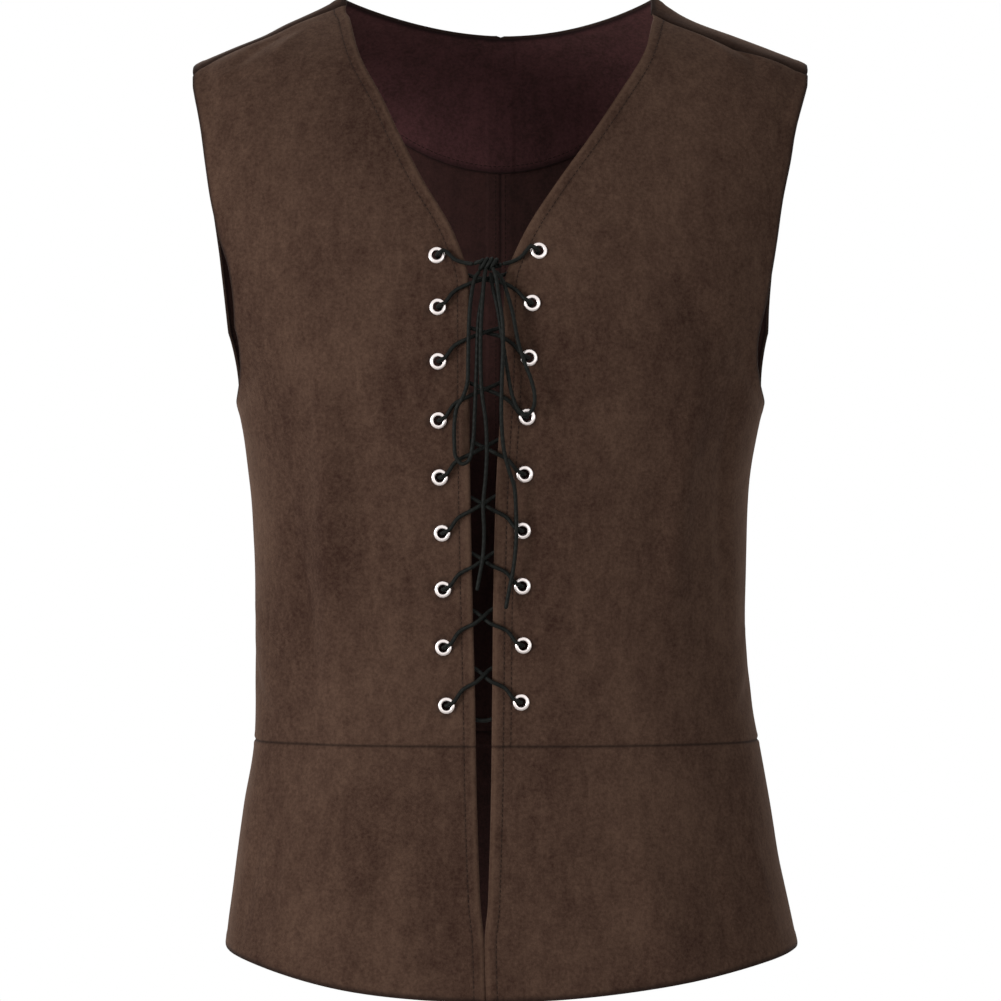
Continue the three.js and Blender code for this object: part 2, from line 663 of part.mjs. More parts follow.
function bodiceFront(side) {
  const start = frontEdgePlace(side, WAIST_Z).turn;
  const grid = fill({
    bottom: evenly((t) => ({ turn: lerp(start, side * 90, t), z: WAIST_Z }), COLUMNS),
    top: evenly((t) => shoulderSeam(side, t), COLUMNS),
    inner: frontInnerEdge(side),
    outer: outerEdge(side, false),
  });
  return punched(panel(grid, { outer: SIDE_ROWS, bottom: true, top: true }), side);
}

function backGrid(side) {
  return fill({
    bottom: evenly((t) => ({ turn: side * lerp(180, 90, t), z: WAIST_Z }), COLUMNS),
    top: evenly((t) => shoulderSeam(side, t), COLUMNS),
    inner: backInnerEdge(side),
    outer: outerEdge(side, true),
  });
}

const bodiceBack = (side) =>
  panel(backGrid(side), { inner: BODICE_ROWS - NECKLINE_ROWS, outer: SIDE_ROWS, bottom: true, top: true });

// A skirt panel between two edges, each a function that gives the turn at a height.
function skirt(from, to, columns, sewn) {
  const turnOf = (z, t) => lerp(from(z), to(z), t);
  const low = (t) => {
    const z = hemZ(turnOf(HEM_FRONT_Z, t));
    return { turn: turnOf(z, t), z };
  };
  const up = (edge, end) => evenly((t) => {
    const z = lerp(end.z, WAIST_Z, t);
    return { turn: edge(z), z };
  }, SKIRT_ROWS);
  const grid = fill({
    bottom: evenly(low, columns),
    top: evenly((t) => ({ turn: turnOf(WAIST_Z, t), z: WAIST_Z }), columns),
    inner: up(from, low(0)),
    outer: up(to, low(1)),
  });
  return panel(grid, { ...sewn, top: true });
}

const skirtFront = (side) =>
  skirt((z) => frontEdgePlace(side, z).turn, () => side * 90, COLUMNS, { outer: SKIRT_ROWS });
const skirtBack = () =>
  skirt(() => 90, () => 270, COLUMNS * 2, { inner: SKIRT_ROWS, outer: SKIRT_ROWS });

// Each step of an edge halved, so that it still follows the edge's own straight pieces.
const halved = (edge) =>
  edge.flatMap((place, i) => {
    if (i === 0) return [place];
    const last = edge[i - 1];
    return [{ turn: (last.turn + place.turn) / 2, z: (last.z + place.z) / 2 }, place];
  });

// The facing behind the back neckline, from one shoulder seam to the other, laid on the back panels.
function neckFacing() {
  const half = (side) => {
    const under = backGrid(side);
    const columns = 2 * NECKLINE_ROWS;
    const grid = fill({
      bottom: evenly(facingEdge(side), columns),
      top: halved(evenly(backNeckline(side), NECKLINE_ROWS)),
      inner: evenly((t) => ({ turn: side * 180, z: lerp(FACING_LOW_Z, BACK_NECK_Z, t) }), FACING_ROWS),
      outer: evenly((t) => shoulderSeam(side, lerp(facingSeamShare(side), 0, t)), FACING_ROWS),
    });
    return grid.map((row) => row.map((place) => onFacets(under, place)));
  };
  const left = half(LEFT);
  const right = half(RIGHT);
  const whole = left.map((row, j) => [...row.toReversed(), ...right[j].slice(1)]);
  const high = -OUT - FACING_GAP;
  return wall(whole, high - FACING, high);
}

function knotGeometry() {
  const ball = new THREE.SphereGeometry(1, 10, 7);
  return ball.scale(KNOT.wide, KNOT.deep, KNOT.tall);
}

// ---------- the vest ----------
const suede = new THREE.MeshStandardMaterial({ color: 0x4b382d, roughness: 0.95 });
const facingSuede = new THREE.MeshStandardMaterial({ color: 0x382a24, roughness: 0.95 });
const nickel = new THREE.MeshStandardMaterial({ color: 0xd8d4cf, roughness: 0.3, metalness: 1 });
const waxedCord = new THREE.MeshStandardMaterial({ color: 0x1d1d1a, roughness: 0.8 });

const vest = new THREE.Group();

function add(name, geometry, material) {
  const mesh = new THREE.Mesh(geometry, material);
  mesh.name = name;
  vest.add(mesh);
  return mesh;
}

for (const side of [RIGHT, LEFT]) {
  add(`front_${sideName(side)}`, bodiceFront(side), suede);
  add(`back_${sideName(side)}`, bodiceBack(side), suede);
  add(`skirt_front_${sideName(side)}`, skirtFront(side), suede);
}
add("skirt_back", skirtBack(), suede);
add("back_neck_facing", neckFacing(), facingSuede);

for (const eyelet of eyelets) {
  const mesh = add(`eyelet_${eyelet.name}_${eyelet.row + 1}`, eyeletGeometry(), nickel);
  mesh.position.copy(eyelet.centre);
  mesh.quaternion.copy(turnTo(eyelet.out));
}

add("lace", cordGeometry(laceRoute(), 6), waxedCord);
add("lace_knot", knotGeometry(), waxedCord).position.copy(onFront(KNOT.x, KNOT.z, KNOT.height));
for (const { name, route } of HANGING) {
  add(name, cordGeometry(route.map((point) => onFront(...point)), 8), waxedCord);
}

export default vest;
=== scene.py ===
"""A sleeveless laced vest of soft suede cloth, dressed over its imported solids.

Sizes are in millimetres until a mesh is made, which is in metres. +Z is up, -Y is the front and +X is
the wearer's left. The origin is halfway between the two neck points.
"""
import math

import bmesh
import bpy
import numpy as np
from mathutils import Matrix, Vector, noise


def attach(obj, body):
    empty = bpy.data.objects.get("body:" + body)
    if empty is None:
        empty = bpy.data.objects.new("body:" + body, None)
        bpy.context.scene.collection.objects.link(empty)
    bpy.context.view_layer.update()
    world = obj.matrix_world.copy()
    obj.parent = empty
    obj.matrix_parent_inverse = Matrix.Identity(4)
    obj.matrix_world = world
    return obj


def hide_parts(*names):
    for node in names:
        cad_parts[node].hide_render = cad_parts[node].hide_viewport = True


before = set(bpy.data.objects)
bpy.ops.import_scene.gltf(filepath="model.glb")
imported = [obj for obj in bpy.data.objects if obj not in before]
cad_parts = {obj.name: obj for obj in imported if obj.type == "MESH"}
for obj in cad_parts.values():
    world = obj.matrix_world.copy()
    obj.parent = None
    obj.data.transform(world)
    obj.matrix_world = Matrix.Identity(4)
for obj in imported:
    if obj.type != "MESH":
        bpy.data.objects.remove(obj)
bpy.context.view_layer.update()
bpy.ops.object.select_all(action="DESELECT")

MM = 0.001

# ---------- the camera ----------
CAMERA_FAR = 3.0  # metres in front of the origin
CAMERA_Z = -0.338
SENSOR = 36  # mm wide
LENS = 158.67  # mm


def add_camera():
    data = bpy.data.cameras.new("camera")
    data.sensor_width = SENSOR
    data.lens = LENS
    data.clip_start, data.clip_end = 0.1, 60
    camera = bpy.data.objects.new("camera", data)
    camera.location = (0, -CAMERA_FAR, CAMERA_Z)
    camera.rotation_euler = (math.pi / 2, 0, 0)
    bpy.context.scene.collection.objects.link(camera)
    bpy.context.scene.camera = camera


add_camera()

# ---------- sizes, in mm ----------
RIGHT, LEFT = -1, 1  # the wearer's sides
SIDE_NAMES = {RIGHT: "right", LEFT: "left"}
CLOTH = 1.6  # thickness
WAIST_Z = -499.5
ARMPIT_Z = -272
SCOOP_Z = -222  # where an armhole's upright edge meets its rounded foot
SHOULDER_Z = -60  # where it meets the round of the shoulder
NECK_X = {RIGHT: 107, LEFT: 104}
NECK_Z = 3
BACK_NECK_Z = -17
NECKLINE_ROUND = {RIGHT: 1.75, LEFT: 2.1}
NECK_FORWARD = {RIGHT: 10, LEFT: 16}  # how far in front of the origin the shoulder seam starts
TIP_FORWARD = {RIGHT: 26, LEFT: 27}  # and ends
SEAM_BOW = {RIGHT: 0, LEFT: 11}
TIP_X = 206.8
VEE_Z = -192  # where the laced opening turns into the V of the neck
HEM_FRONT_Z = -665
HEM_SIDE_Z = -638
HEM_BACK_Z = -648
HEM_ROUND = {RIGHT: 2, LEFT: 1.5}
SQUARENESS = 2.35  # of the body's sections: 2 is an ellipse

HOLE_RADIUS = 3.6
FLANGE_RISE = 1.3
WASHER_DROP = 1.2
CORD = 2.7  # thickness

FACING = 1.2  # thickness
FACING_LOW_Z = -106.5
FACING_CURVE = 0.0043
FACING_X = 143


def table(columns, *rows):
    """A table with named columns, whose rows run down in z."""
    return {name: np.array([row[i] for row in rows], float) for i, name in enumerate(columns.split())}


# Body sections: half widths to each side, and depths.
SECTIONS = table(
    "z right left front back",
    (7, 99, 95, 4, 18),
    (3, 108, 104.5, 11, 27),
    (-4, 121, 114.5, 22, 39),
    (-10, 134, 124, 30, 48),
    (-16, 147, 137, 38, 57),
    (-24, 162, 159, 47, 67),
    (-34, 186.5, 185.5, 56, 77),
    (-44, 208, 209, 64, 85),
    (-56, 221, 222, 72, 92),
    (-72, 229, 228, 81, 99),
    (-100, 229, 227, 94, 106),
    (-134, 221, 217, 106, 111),
    (-188, 206, 202, 118, 113),
    (-235, 190, 189, 122, 110),
    (-277, 177, 177, 121, 104),
    (-324, 169.6, 168.2, 117, 95),
    (-365, 166.6, 166.2, 113, 88),
    (-420, 165.5, 165.2, 109, 82),
    (-474, 165.5, 169.7, 107, 82),
    (-505, 166.6, 175.3, 107, 85),
    (-542, 173, 182, 109, 91),
    (-583, 178.5, 188.5, 112, 97),
    (-637, 185.5, 200.5, 116, 104),
    (-690, 190, 210, 119, 109),
)

# How far out the upright edges of the armholes lie, on the front and the back panels.
ARMHOLE = table(
    "z front_right front_left back_right back_left",
    (-60, 206, 205.4, 207.5, 207),
    (-90, 199.8, 196.6, 205, 202),
    (-112, 196.6, 192.6, 202, 197.5),
    (-138, 192.5, 187.2, 198.5, 193),
    (-165, 186, 183.3, 194.5, 189),
    (-182, 180.5, 180.6, 192.3, 187.2),
    (-205, 177.3, 176.5, 189.3, 185),
    (-222, 176.6, 172.5, 187, 184),
)

# Front edges of the two sides: the V of the neck, the laced opening and the slit of the skirt.
FRONT_EDGE = table(
    "z right left",
    (-12, -103, 104),
    (-42, -94.5, 94.8),
    (-70, -80, 78),
    (-98, -67, 59.3),
    (-128, -51.8, 37.8),
    (-158, -34, 18.4),
    (-183, -24, 6.8),
    (-192, -21.8, 3.8),
    (-207, -21.2, 2.8),
    (-255, -20.4, 0.9),
    (-325, -19.6, -3.4),
    (-400, -18.2, -5.4),
    (-470, -16.5, -6.1),
    (-535, -15.4, -6.8),
    (-600, -13.2, -8.4),
    (-632, -11.4, -9.6),
    (-666, -10.2, -9),
)

# How far the cloth is drawn back from those edges, so that its rounded rims leave the opening at its
# width and only touch below it.
OPENING_EASE = table(
    "z right left",
    (-192, 0, 0),
    (-300, 1.3, 1.8),
    (-600, 1.2, 1.4),
    (-626, 0.05, 0.05),
    (-640, 0.25, 0.25),
    (-666, 0.42, 0.42),
)

# The two columns of eyelets from the top down, set by hand and so not quite straight: x and z.
EYELET_PLACES = {
    RIGHT: (
        (-41.7, -177.8), (-40.9, -211.7), (-40.7, -247.2), (-40.5, -285.7), (-39.7, -322.9),
        (-38.2, -359.4), (-37.7, -396.3), (-37.4, -434.4), (-35.4, -472.6),
    ),
    LEFT: (
        (25, -174.9), (20.6, -209.2), (18.6, -244.9), (17.3, -283.5), (15.8, -320.8),
        (14.4, -357.8), (14.3, -394.1), (14.9, -433), (13.5, -470.4),
    ),
}
EYELET_ROWS = len(EYELET_PLACES[RIGHT])

# Soft folds of the hanging cloth: turn round the body, ends in z, half width in degrees, and rise.
FOLDS = (
    (-37, -250, -560, 7, 1.8),
    (-49, -300, -680, 8, -2.4),
    (-70, -340, -720, 9, 2.4),
    (52, -205, -480, 8, -2.6),
    (66, -300, -700, 9, 2.2),
    (-28, -520, -780, 10, 1.8),
    (33, -520, -780, 11, 1.8),
    (118, -330, -610, 10, -3),
    (134, -400, -760, 10, 2.4),
    (-116, -350, -640, 10, -2.6),
    (-130, -380, -740, 10, 2.6),
    (158, -420, -700, 9, -2),
    (-156, -390, -650, 9, -2.2),
)

# Creases, each from one end to the other: turn and z of both, half width in mm, and rise.
CREASES = (
    (-58, -58, -49, -44, 3.2, 1.1),
    (-54, -63, -45, -52, 3.6, -1.0),
    (-62, -26, -47, -60, 6, -1.9),
    (-71, -40, -46, -88, 7, -1.7),
    (-56, -22, -42, -44, 4, 1.3),
    (60, -24, 46, -58, 5, -1.9),
    (70, -44, 50, -86, 7, -1.5),
    (53, -24, 42, -48, 4, 1.4),
    (78, -262, 48, -232, 10, -2.6),
    (80, -282, 54, -266, 9, 1.9),
    (30, -192, 48, -242, 13, -3.0),
    (-80, -262, -56, -244, 10, -2.2),
    (-82, -286, -58, -292, 9, 1.9),
    (-55, -330, -44, -464, 10, -2.7),
    (-37, -230, -41, -440, 12, 3.7),
    (-29, -262, -28, -404, 9, -2.0),
    (57, -246, 63, -440, 10, -3.2),
    (45, -256, 39, -420, 13, 3.3),
    (-88, -438, -62, -486, 8, -1.9),
    (-84, -404, -66, -436, 7, 1.2),
    (88, -452, 63, -480, 8, -1.8),
    (84, -420, 70, -446, 7, 1.1),
    (-20, -556, -25, -655, 10, -1.5),
    (24, -536, 31, -660, 12, 2.2),
    (44, -560, 46, -650, 9, -1.5),
    (60, -536, 66, -640, 9, 1.4),
    (-46, -540, -52, -650, 10, 2.0),
    (-60, -530, -68, -640, 9, -1.6),
    (178, -130, 175, -300, 10, -1.9),
    (150, -60, 138, -132, 10, -2.1),
    (-148, -60, -134, -142, 10, -1.9),
    (132, -250, 152, -334, 11, -2.3),
    (-128, -244, -152, -324, 11, -2.4),
    (120, -236, 140, -286, 8, 1.5),
    (170, -440, 138, -486, 9, -1.9),
    (-168, -452, -136, -480, 9, -2.1),
    (172, -400, 126, -432, 10, 1.7),
    (-166, -410, -122, -424, 10, 1.9),
    (146, -540, 151, -640, 11, -1.9),
    (-144, -530, -151, -640, 11, -2.0),
    (166, -540, 164, -620, 9, 1.3),
)
DEGREE = 2.8  # mm round the body that one degree of turn takes up, nearly
RIPPLE = 0.32  # mm, the cloth's own unevenness
RIPPLE_SIZE = 34

# Centre lines of the hanging stretches of the lace: x, z and height off the cloth's middle surface.
KNOT = {"x": -8.2, "z": -184.5, "height": 4.5}
KNOT_REACH = 9.35  # from the knot's middle to where the lace runs into it
HANGING = {
    "bow_loop_right": (
        (-13.3, -189, 4.8), (-16.4, -193.6, 5.8), (-19, -206, 6.8), (-20.4, -225, 7),
        (-20.8, -246, 7), (-21.5, -262, 7.2), (-24.5, -271, 7.6), (-28, -277, 7.4),
        (-29.6, -288, 7), (-29.6, -300, 7), (-28.6, -309, 7.4), (-24.6, -313.4, 8),
        (-20.4, -311, 8), (-17.8, -300, 7.4), (-16.6, -280, 7), (-15.4, -250, 6.8),
        (-14.2, -220, 6.8), (-11.6, -204, 6.4), (-10, -190, 4.8),
    ),
    "bow_loop_left": (
        (-3.1, -189, 4.8), (0.6, -194, 6.4), (7.2, -214, 8), (11.4, -235, 8.4), (15.4, -248, 8.6),
        (19.6, -259, 8.8), (21.8, -269, 9), (21, -277, 9.2), (17, -281.5, 9.2), (12, -279, 8.8),
        (7.8, -270, 8.4), (4.2, -252, 7.8), (1, -232, 7.2), (-2.2, -212, 7), (-5, -200, 6.2),
        (-6.5, -190, 4.8),
    ),
    "lace_end_right": (
        (-9.3, -188, 8.7), (-10.4, -194, 10.4), (-11.4, -206, 10.4), (-12.6, -226, 10.4),
        (-12.8, -248, 10.2), (-12, -267, 10), (-9.6, -285, 9.8), (-8.8, -304, 9.6), (-9.6, -322, 9),
        (-11.2, -340, 8.4), (-10.6, -358, 7.6), (-11.4, -374, 7.2), (-13.8, -388, 7), (-15.2, -396.5, 7),
    ),
    "lace_end_left": (
        (-5.2, -187.5, 8.8), (-3.2, -193, 10.6), (-1.2, -206, 11), (1.2, -222, 11.4), (1.6, -240, 11.4),
        (0.8, -262, 11.2), (0.6, -285, 10.6), (2.2, -304, 9.6), (5.6, -318, 8.6), (8.8, -328, 7.6),
        (10, -344, 7), (10.2, -362, 6.8), (8.6, -380, 6.8), (5.6, -396, 6.8), (3.4, -408.5, 6.8),
    ),
}


# ---------- small tools, and the worn surface ----------
def lerp(a, b, t):
    return a + (b - a) * t


def smooth_step(a, b, value):
    t = np.clip((value - a) / (b - a), 0, 1)
    return t * t * (3 - 2 * t)


def bell(away, width):
    """A round bump: 1 in its middle, and about a third of that at its width."""
    return np.exp(-((away / width) ** 2))


def unit(vectors):
    return vectors / np.maximum(np.linalg.norm(vectors, axis=-1, keepdims=True), 1e-9)


def distances(points):
    """How far along a line of points each of them lies."""
    return np.concatenate([[0], np.cumsum(np.linalg.norm(np.diff(points, axis=0), axis=1))])


def read_along(wanted, gone, values):
    """Values that go with a line's points, read at the wanted distances along it."""
    return np.stack([np.interp(wanted, gone, column) for column in values.T], -1)


def table_value(rows, name, z):
    """A value of a table at heights z, smoothed between its rows without overshoot."""
    z = np.asarray(z, float)
    zs, values = rows["z"], rows[name]
    last = len(zs) - 2
    i = np.clip(np.searchsorted(-zs, -z, side="left") - 1, 0, last)
    before, after = np.maximum(i - 1, 0), np.minimum(i + 2, last + 1)
    run = zs[i + 1] - zs[i]
    here = (values[i + 1] - values[i]) / run

    def tame(slope):
        held = np.sign(here) * np.minimum(abs(slope), 3 * abs(here))
        return np.where(slope * here <= 0, 0, held)

    upper = (values[i + 1] - values[before]) / (zs[i + 1] - zs[before])
    lower = (values[after] - values[i]) / (zs[after] - zs[i])
    m0 = np.where(i > 0, tame(upper), here) * run
    m1 = np.where(i < last, tame(lower), here) * run
    t = np.clip((z - zs[i]) / run, 0, 1)
    t2, t3 = t * t, t * t * t
    start = (2 * t3 - 3 * t2 + 1) * values[i] + (t3 - 2 * t2 + t) * m0
    return start + (3 * t2 - 2 * t3) * values[i + 1] + (t3 - t2) * m1


def side_value(rows, side, z):
    return np.where(np.asarray(side) < 0, table_value(rows, "right", z), table_value(rows, "left", z))


def fold_rise(turn, z):
    rise = np.zeros_like(turn)
    for middle, top, bottom, wide, height in FOLDS:
        along = np.clip((z - bottom) / (top - bottom), 0, 1)
        away = (turn - middle + 540) % 360 - 180
        rise += height * np.sin(math.pi * along) ** 1.5 * bell(away, wide)
    return rise


def cloth_point(turn, z):
    """Points on the middle of the cloth. The turn is 0 at the front, 90 at the left side, 180 behind."""
    turn, z = np.broadcast_arrays(np.asarray(turn, float), np.asarray(z, float))
    s, c = np.sin(np.radians(turn)), np.cos(np.radians(turn))
    wide = side_value(SECTIONS, s, z)
    deep = np.where(c > 0, table_value(SECTIONS, "front", z), table_value(SECTIONS, "back", z))
    x = np.sign(s) * wide * abs(s) ** (2 / SQUARENESS)
    y = -np.sign(c) * deep * abs(c) ** (2 / SQUARENESS)
    out = np.stack([x / wide**2, y / deep**2], -1)
    out *= (fold_rise(turn, z) / np.linalg.norm(out, axis=-1))[..., None]
    return np.stack([x + out[..., 0], y + out[..., 1], z], -1)


def cloth_normal(turn, z):
    reach = 0.6  # degrees and mm
    around = cloth_point(turn + reach, z) - cloth_point(turn - reach, z)
    up = cloth_point(turn, z + reach) - cloth_point(turn, z - reach)
    return unit(np.cross(around, up))


def turn_at(x, z, back=False, side=None):
    """The turn at which the section at z has the given x, on the front or the back."""
    side = np.sign(x) if side is None else side
    share = np.minimum(abs(x) / side_value(SECTIONS, side, z), 1)
    turn = np.degrees(np.arcsin(share ** (SQUARENESS / 2)))
    return side * (180 - turn if back else turn)


def ridge_z(turn, x):
    """The height near the shoulder's ridge at which the given turn has the given x."""
    turn, x = np.broadcast_arrays(np.asarray(turn, float), np.asarray(x, float))
    across = abs(np.sin(np.radians(turn))) ** (2 / SQUARENESS)
    low, high = np.full(turn.shape, -90.0), np.full(turn.shape, 3.0)
    for _ in range(30):
        z = (low + high) / 2
        inside = side_value(SECTIONS, x, z) * across < abs(x)
        high, low = np.where(inside, z, high), np.where(inside, low, z)
    return low


def on_front(x, z, height):
    turn = turn_at(np.asarray(x, float), z)
    return cloth_point(turn, z) + cloth_normal(turn, z) * np.asarray(height)[..., None]


# ---------- edges: functions that give turn and z at shares of the way ----------
def evenly(path, shares):
    """Places at these shares of a path's length."""
    steps = np.linspace(0, 1, 401)
    places = np.stack(np.broadcast_arrays(*path(steps)), -1)
    points = cloth_point(places[:, 0], places[:, 1])
    gone = distances(points)
    return read_along(np.asarray(shares) * gone[-1], gone, places)


def joined(shares, *parts):
    """Places along paths that follow one another, each given with the rows that it takes up."""
    row = np.asarray(shares) * sum(rows for _, rows in parts)
    places = np.zeros((len(row), 2))
    start = 0
    for path, rows in parts:
        here = (row >= start - 1e-9) & (row <= start + rows + 1e-9)
        places[here] = evenly(path, np.clip((row[here] - start) / rows, 0, 1))
        start += rows
    return places


def front_edge_x(side, z):
    return table_value(FRONT_EDGE, SIDE_NAMES[side], z)


def front_edge(side, z):
    """The turn and height of the cloth's front edge."""
    ease = table_value(OPENING_EASE, SIDE_NAMES[side], z)
    return turn_at(front_edge_x(side, z) + side * ease, z), z


def seam_start(side):
    return NECK_X[side] - 1.5


def shoulder_seam(side, t):
    """The shoulder seam, from the neck at 0 to the tip at 1."""
    t = np.asarray(t, float)
    x = side * lerp(seam_start(side), TIP_X, t)
    bow = SEAM_BOW[side] * np.maximum(np.sin(t * math.pi), 0) ** 0.6
    forward = lerp(NECK_FORWARD[side], TIP_FORWARD[side], t) + bow
    near, far = np.full(t.shape, 90.0), np.full(t.shape, 20.0)
    for _ in range(30):
        turn = (near + far) / 2
        behind = -cloth_point(side * turn, ridge_z(side * turn, x))[..., 1] < forward
        near, far = np.where(behind, turn, near), np.where(behind, far, turn)
    return side * near, ridge_z(side * near, x)


def armhole_upper(side, back):
    """From the armhole's upright edge over the shoulder to the end of the shoulder seam."""
    seam_turn = float(shoulder_seam(side, 1.0)[0])
    name = ("back_" if back else "front_") + SIDE_NAMES[side]
    share = 0.7 if back else 0.86  # of the way, for the upright edge
    over_x = float(table_value(ARMHOLE, name, SHOULDER_Z))
    over_turn = float(turn_at(side * over_x, SHOULDER_Z, back))

    def path(t):
        z = lerp(SCOOP_Z, SHOULDER_Z, np.minimum(t / share, 1))
        u = np.clip((t - share) / (1 - share), 0, 1)
        upright = turn_at(side * table_value(ARMHOLE, name, z), z, back)
        turn = lerp(over_turn, seam_turn, u)
        over = ridge_z(turn, side * lerp(over_x, TIP_X, u))
        return np.where(t < share, upright, turn), np.where(t < share, z, over)

    return path


def armhole_scoop(side, back):
    """The armhole's rounded foot, from the armpit to its upright edge."""
    end = float(armhole_upper(side, back)(np.array([0.0]))[0][0])

    def path(t):
        turn = lerp(side * 90, end, np.sin(t * math.pi / 2))
        return turn, lerp(SCOOP_Z, ARMPIT_Z, np.cos(t * math.pi / 2))

    return path


def vee(side):
    """The V of the neck, from the top of the opening to the shoulder seam."""
    seam = [float(v) for v in shoulder_seam(side, 0.0)]
    top = FRONT_EDGE["z"][0]
    straight = 0.95  # of the way
    start = float(front_edge(side, top)[0])

    def path(t):
        z = lerp(VEE_Z, top, np.minimum(t / straight, 1))
        u = np.clip((t - straight) / (1 - straight), 0, 1)
        turn = np.where(t < straight, front_edge(side, z)[0], lerp(start, seam[0], u))
        return turn, np.where(t < straight, z, lerp(top, seam[1], u))

    return path


def back_neckline(side):
    """The neckline from the middle of the back over the ridge to the shoulder seam."""
    seam_turn = float(shoulder_seam(side, 0.0)[0])
    share = 0.9  # of the way, behind the ridge
    ridge_turn = float(turn_at(side * NECK_X[side], NECK_Z, True))

    def path(t):
        out = np.sin(np.minimum(t / share, 1) * math.pi / 2)
        z = lerp(BACK_NECK_Z, NECK_Z, out ** NECKLINE_ROUND[side])
        behind = turn_at(side * NECK_X[side] * out, z, True, side)
        u = np.clip((t - share) / (1 - share), 0, 1)
        turn = lerp(ridge_turn, seam_turn, u)
        over = ridge_z(turn, side * lerp(NECK_X[side], seam_start(side), u))
        return np.where(t < share, behind, turn), np.where(t < share, z, over)

    return path


def facing_edge(side):
    """The facing's lower edge from the middle of the back to the shoulder seam."""
    seam_turn = float(shoulder_seam(side, facing_share(side))[0])
    share = 0.84  # of the way, behind the ridge

    def curve(out):
        z = FACING_LOW_Z + FACING_CURVE * out * out
        return turn_at(side * out, z, True, side), z

    end_turn = float(curve(FACING_X)[0])

    def path(t):
        turn, z = curve(FACING_X * np.minimum(t / share, 1))
        over = lerp(end_turn, seam_turn, np.clip((t - share) / (1 - share), 0, 1))
        return np.where(t < share, turn, over), np.where(t < share, z, ridge_z(over, side * FACING_X))

    return path


def facing_share(side):
    """How far along the shoulder seam the facing reaches."""
    return (FACING_X - seam_start(side)) / (TIP_X - seam_start(side))


def centre_back(side, low):
    """Up the middle of the back from this height to the neckline."""
    return lambda t: (np.full_like(t, side * 180), lerp(low, BACK_NECK_Z, t))


def hem_z(turn):
    s = np.sin(np.radians(turn))
    middle = np.where(np.cos(np.radians(turn)) > 0, HEM_FRONT_Z, HEM_BACK_Z)
    return lerp(middle, HEM_SIDE_Z, abs(s) ** np.where(s < 0, HEM_ROUND[RIGHT], HEM_ROUND[LEFT]))


def fill(bottom, top, inner, outer, rows, columns):
    """Places that fill four edges, at shares rows and columns of the way across: a Coons patch."""
    s, t = rows[:, None, None], columns[None, :, None]
    edges = lerp(bottom[None], top[None], s) + lerp(inner[:, None], outer[:, None], t)
    return edges - lerp(lerp(bottom[0], bottom[-1], t), lerp(top[0], top[-1], t), s)


# ---------- how an edge is finished ----------
# Distances from an edge, in mm.
STITCH_IN = 6.6  # topstitching
SECOND_IN = 11.4  # its second row
SEAM_STITCH_IN = 3.4  # the row that holds a pressed seam allowance
RIM_STITCH_IN = 4  # the facing's overlocked rim
ALLOWANCE = 9.5  # width of the cloth folded back inside
RIM_REACH = 1.15  # how far a free edge rounds out at least
RIM_FULLNESS = 0.9  # reach of any other edge, as a share of half the wall's thickness
RIM_ANGLES = np.radians([45, 90, 135])  # round the rim, from the face to the inside
NO_EDGE = 99.0  # stands for a distance where no free edge is near


def turned_edge(away):
    """Near an edge that is folded in: the rise of the face and of the inside, and the tone, which is
    above nought where the cloth is rubbed and below it for painted shade, in creases and where the cloth
    lies in its own shade."""
    strip = 1 - smooth_step(STITCH_IN - 0.6, STITCH_IN + 2.6, away)
    roll = bell(away, 0.9)
    inside = 1 - smooth_step(ALLOWANCE - 0.4, ALLOWANCE + 0.5, away)
    dent = bell(away - STITCH_IN, 0.75)
    # painted shade: a dark band along the folded rim, which lies in its own shade
    return 0.34 * strip - 0.25 * roll, 0.75 * inside - 0.3 * dent - 0.3 * roll, -0.9 * bell(away, 2.0)


def topstitched_edge(away):
    """The same where the fold is sewn down through the face, beside the opening."""
    face, inside, _ = turned_edge(away)
    # lighter where the fold is rubbed, and a line of painted shade in the stitching's dent
    tone = 0.36 * bell(away - 1.2, 1.3) - 0.36 * bell(away - STITCH_IN, 0.8)
    return face - 0.42 * bell(away - STITCH_IN, 0.75), inside, tone


def second_row(away):
    """A second row of topstitching beside the eyelets."""
    dent = bell(away - SECOND_IN, 0.8)
    # painted shade in the stitching's dent
    return -0.35 * dent, 0 * away, -0.3 * dent


def sewn_seam(away):
    """The same near a plain seam, whose allowances are pressed open inside."""
    groove = bell(away, 1.25)
    inside = 1 - smooth_step(ALLOWANCE - 0.4, ALLOWANCE + 0.5, away)
    rise = 0.14 * bell(away - 2.6, 1.6) - 0.9 * groove
    # painted shade: a dark line in the seam's groove
    return rise, 0.65 * inside - 0.5 * groove, -0.8 * bell(away, 0.8)


def shoulder_seam_edge(away):
    """The same on the shoulder, where the weight of the cloth pulls the seam into a furrow."""
    face, inside, _ = sewn_seam(away)
    # painted shade: a dark line in the furrow
    return face - 0.7 * bell(away, 3.2), inside, -bell(away, 1.5)


def shaded_shoulder_strip(away):
    """The back's side of that seam, darkened along a broad band beside it as painted shade."""
    face, inside, tone = shoulder_seam_edge(away)
    # painted shade along the back's strip beside the seam
    return face, inside, np.minimum(tone, -0.5 * bell(away, 11) - 0.35 * bell(away, 3.5))


def facing_rim(away):
    """The same at the facing's free edge, which is overlocked and stands a little off, with a painted
    shadow along it.
    """
    lip = bell(away, 2.6)
    # painted shadow along the lifted rim
    return 0.1 * lip, 0.55 * lip - 0.35 * bell(away - RIM_STITCH_IN, 0.9), -0.7 * lip


EDGE_KINDS = {
    "turned": turned_edge, "topstitched": topstitched_edge, "second": second_row,
    "sewn": sewn_seam, "shoulder": shoulder_seam_edge, "yoke": shaded_shoulder_strip, "rim": facing_rim,
}


def distance_to_line(points, line):
    """From each point to a line of straight pieces."""
    best = np.full(len(points), np.inf)
    for a, b in zip(line[:-1], line[1:]):
        step = b - a
        share = np.clip((points - a) @ step / max(step @ step, 1e-12), 0, 1)
        best = np.minimum(best, ((points - a - share[:, None] * step) ** 2).sum(1))
    return np.sqrt(best)


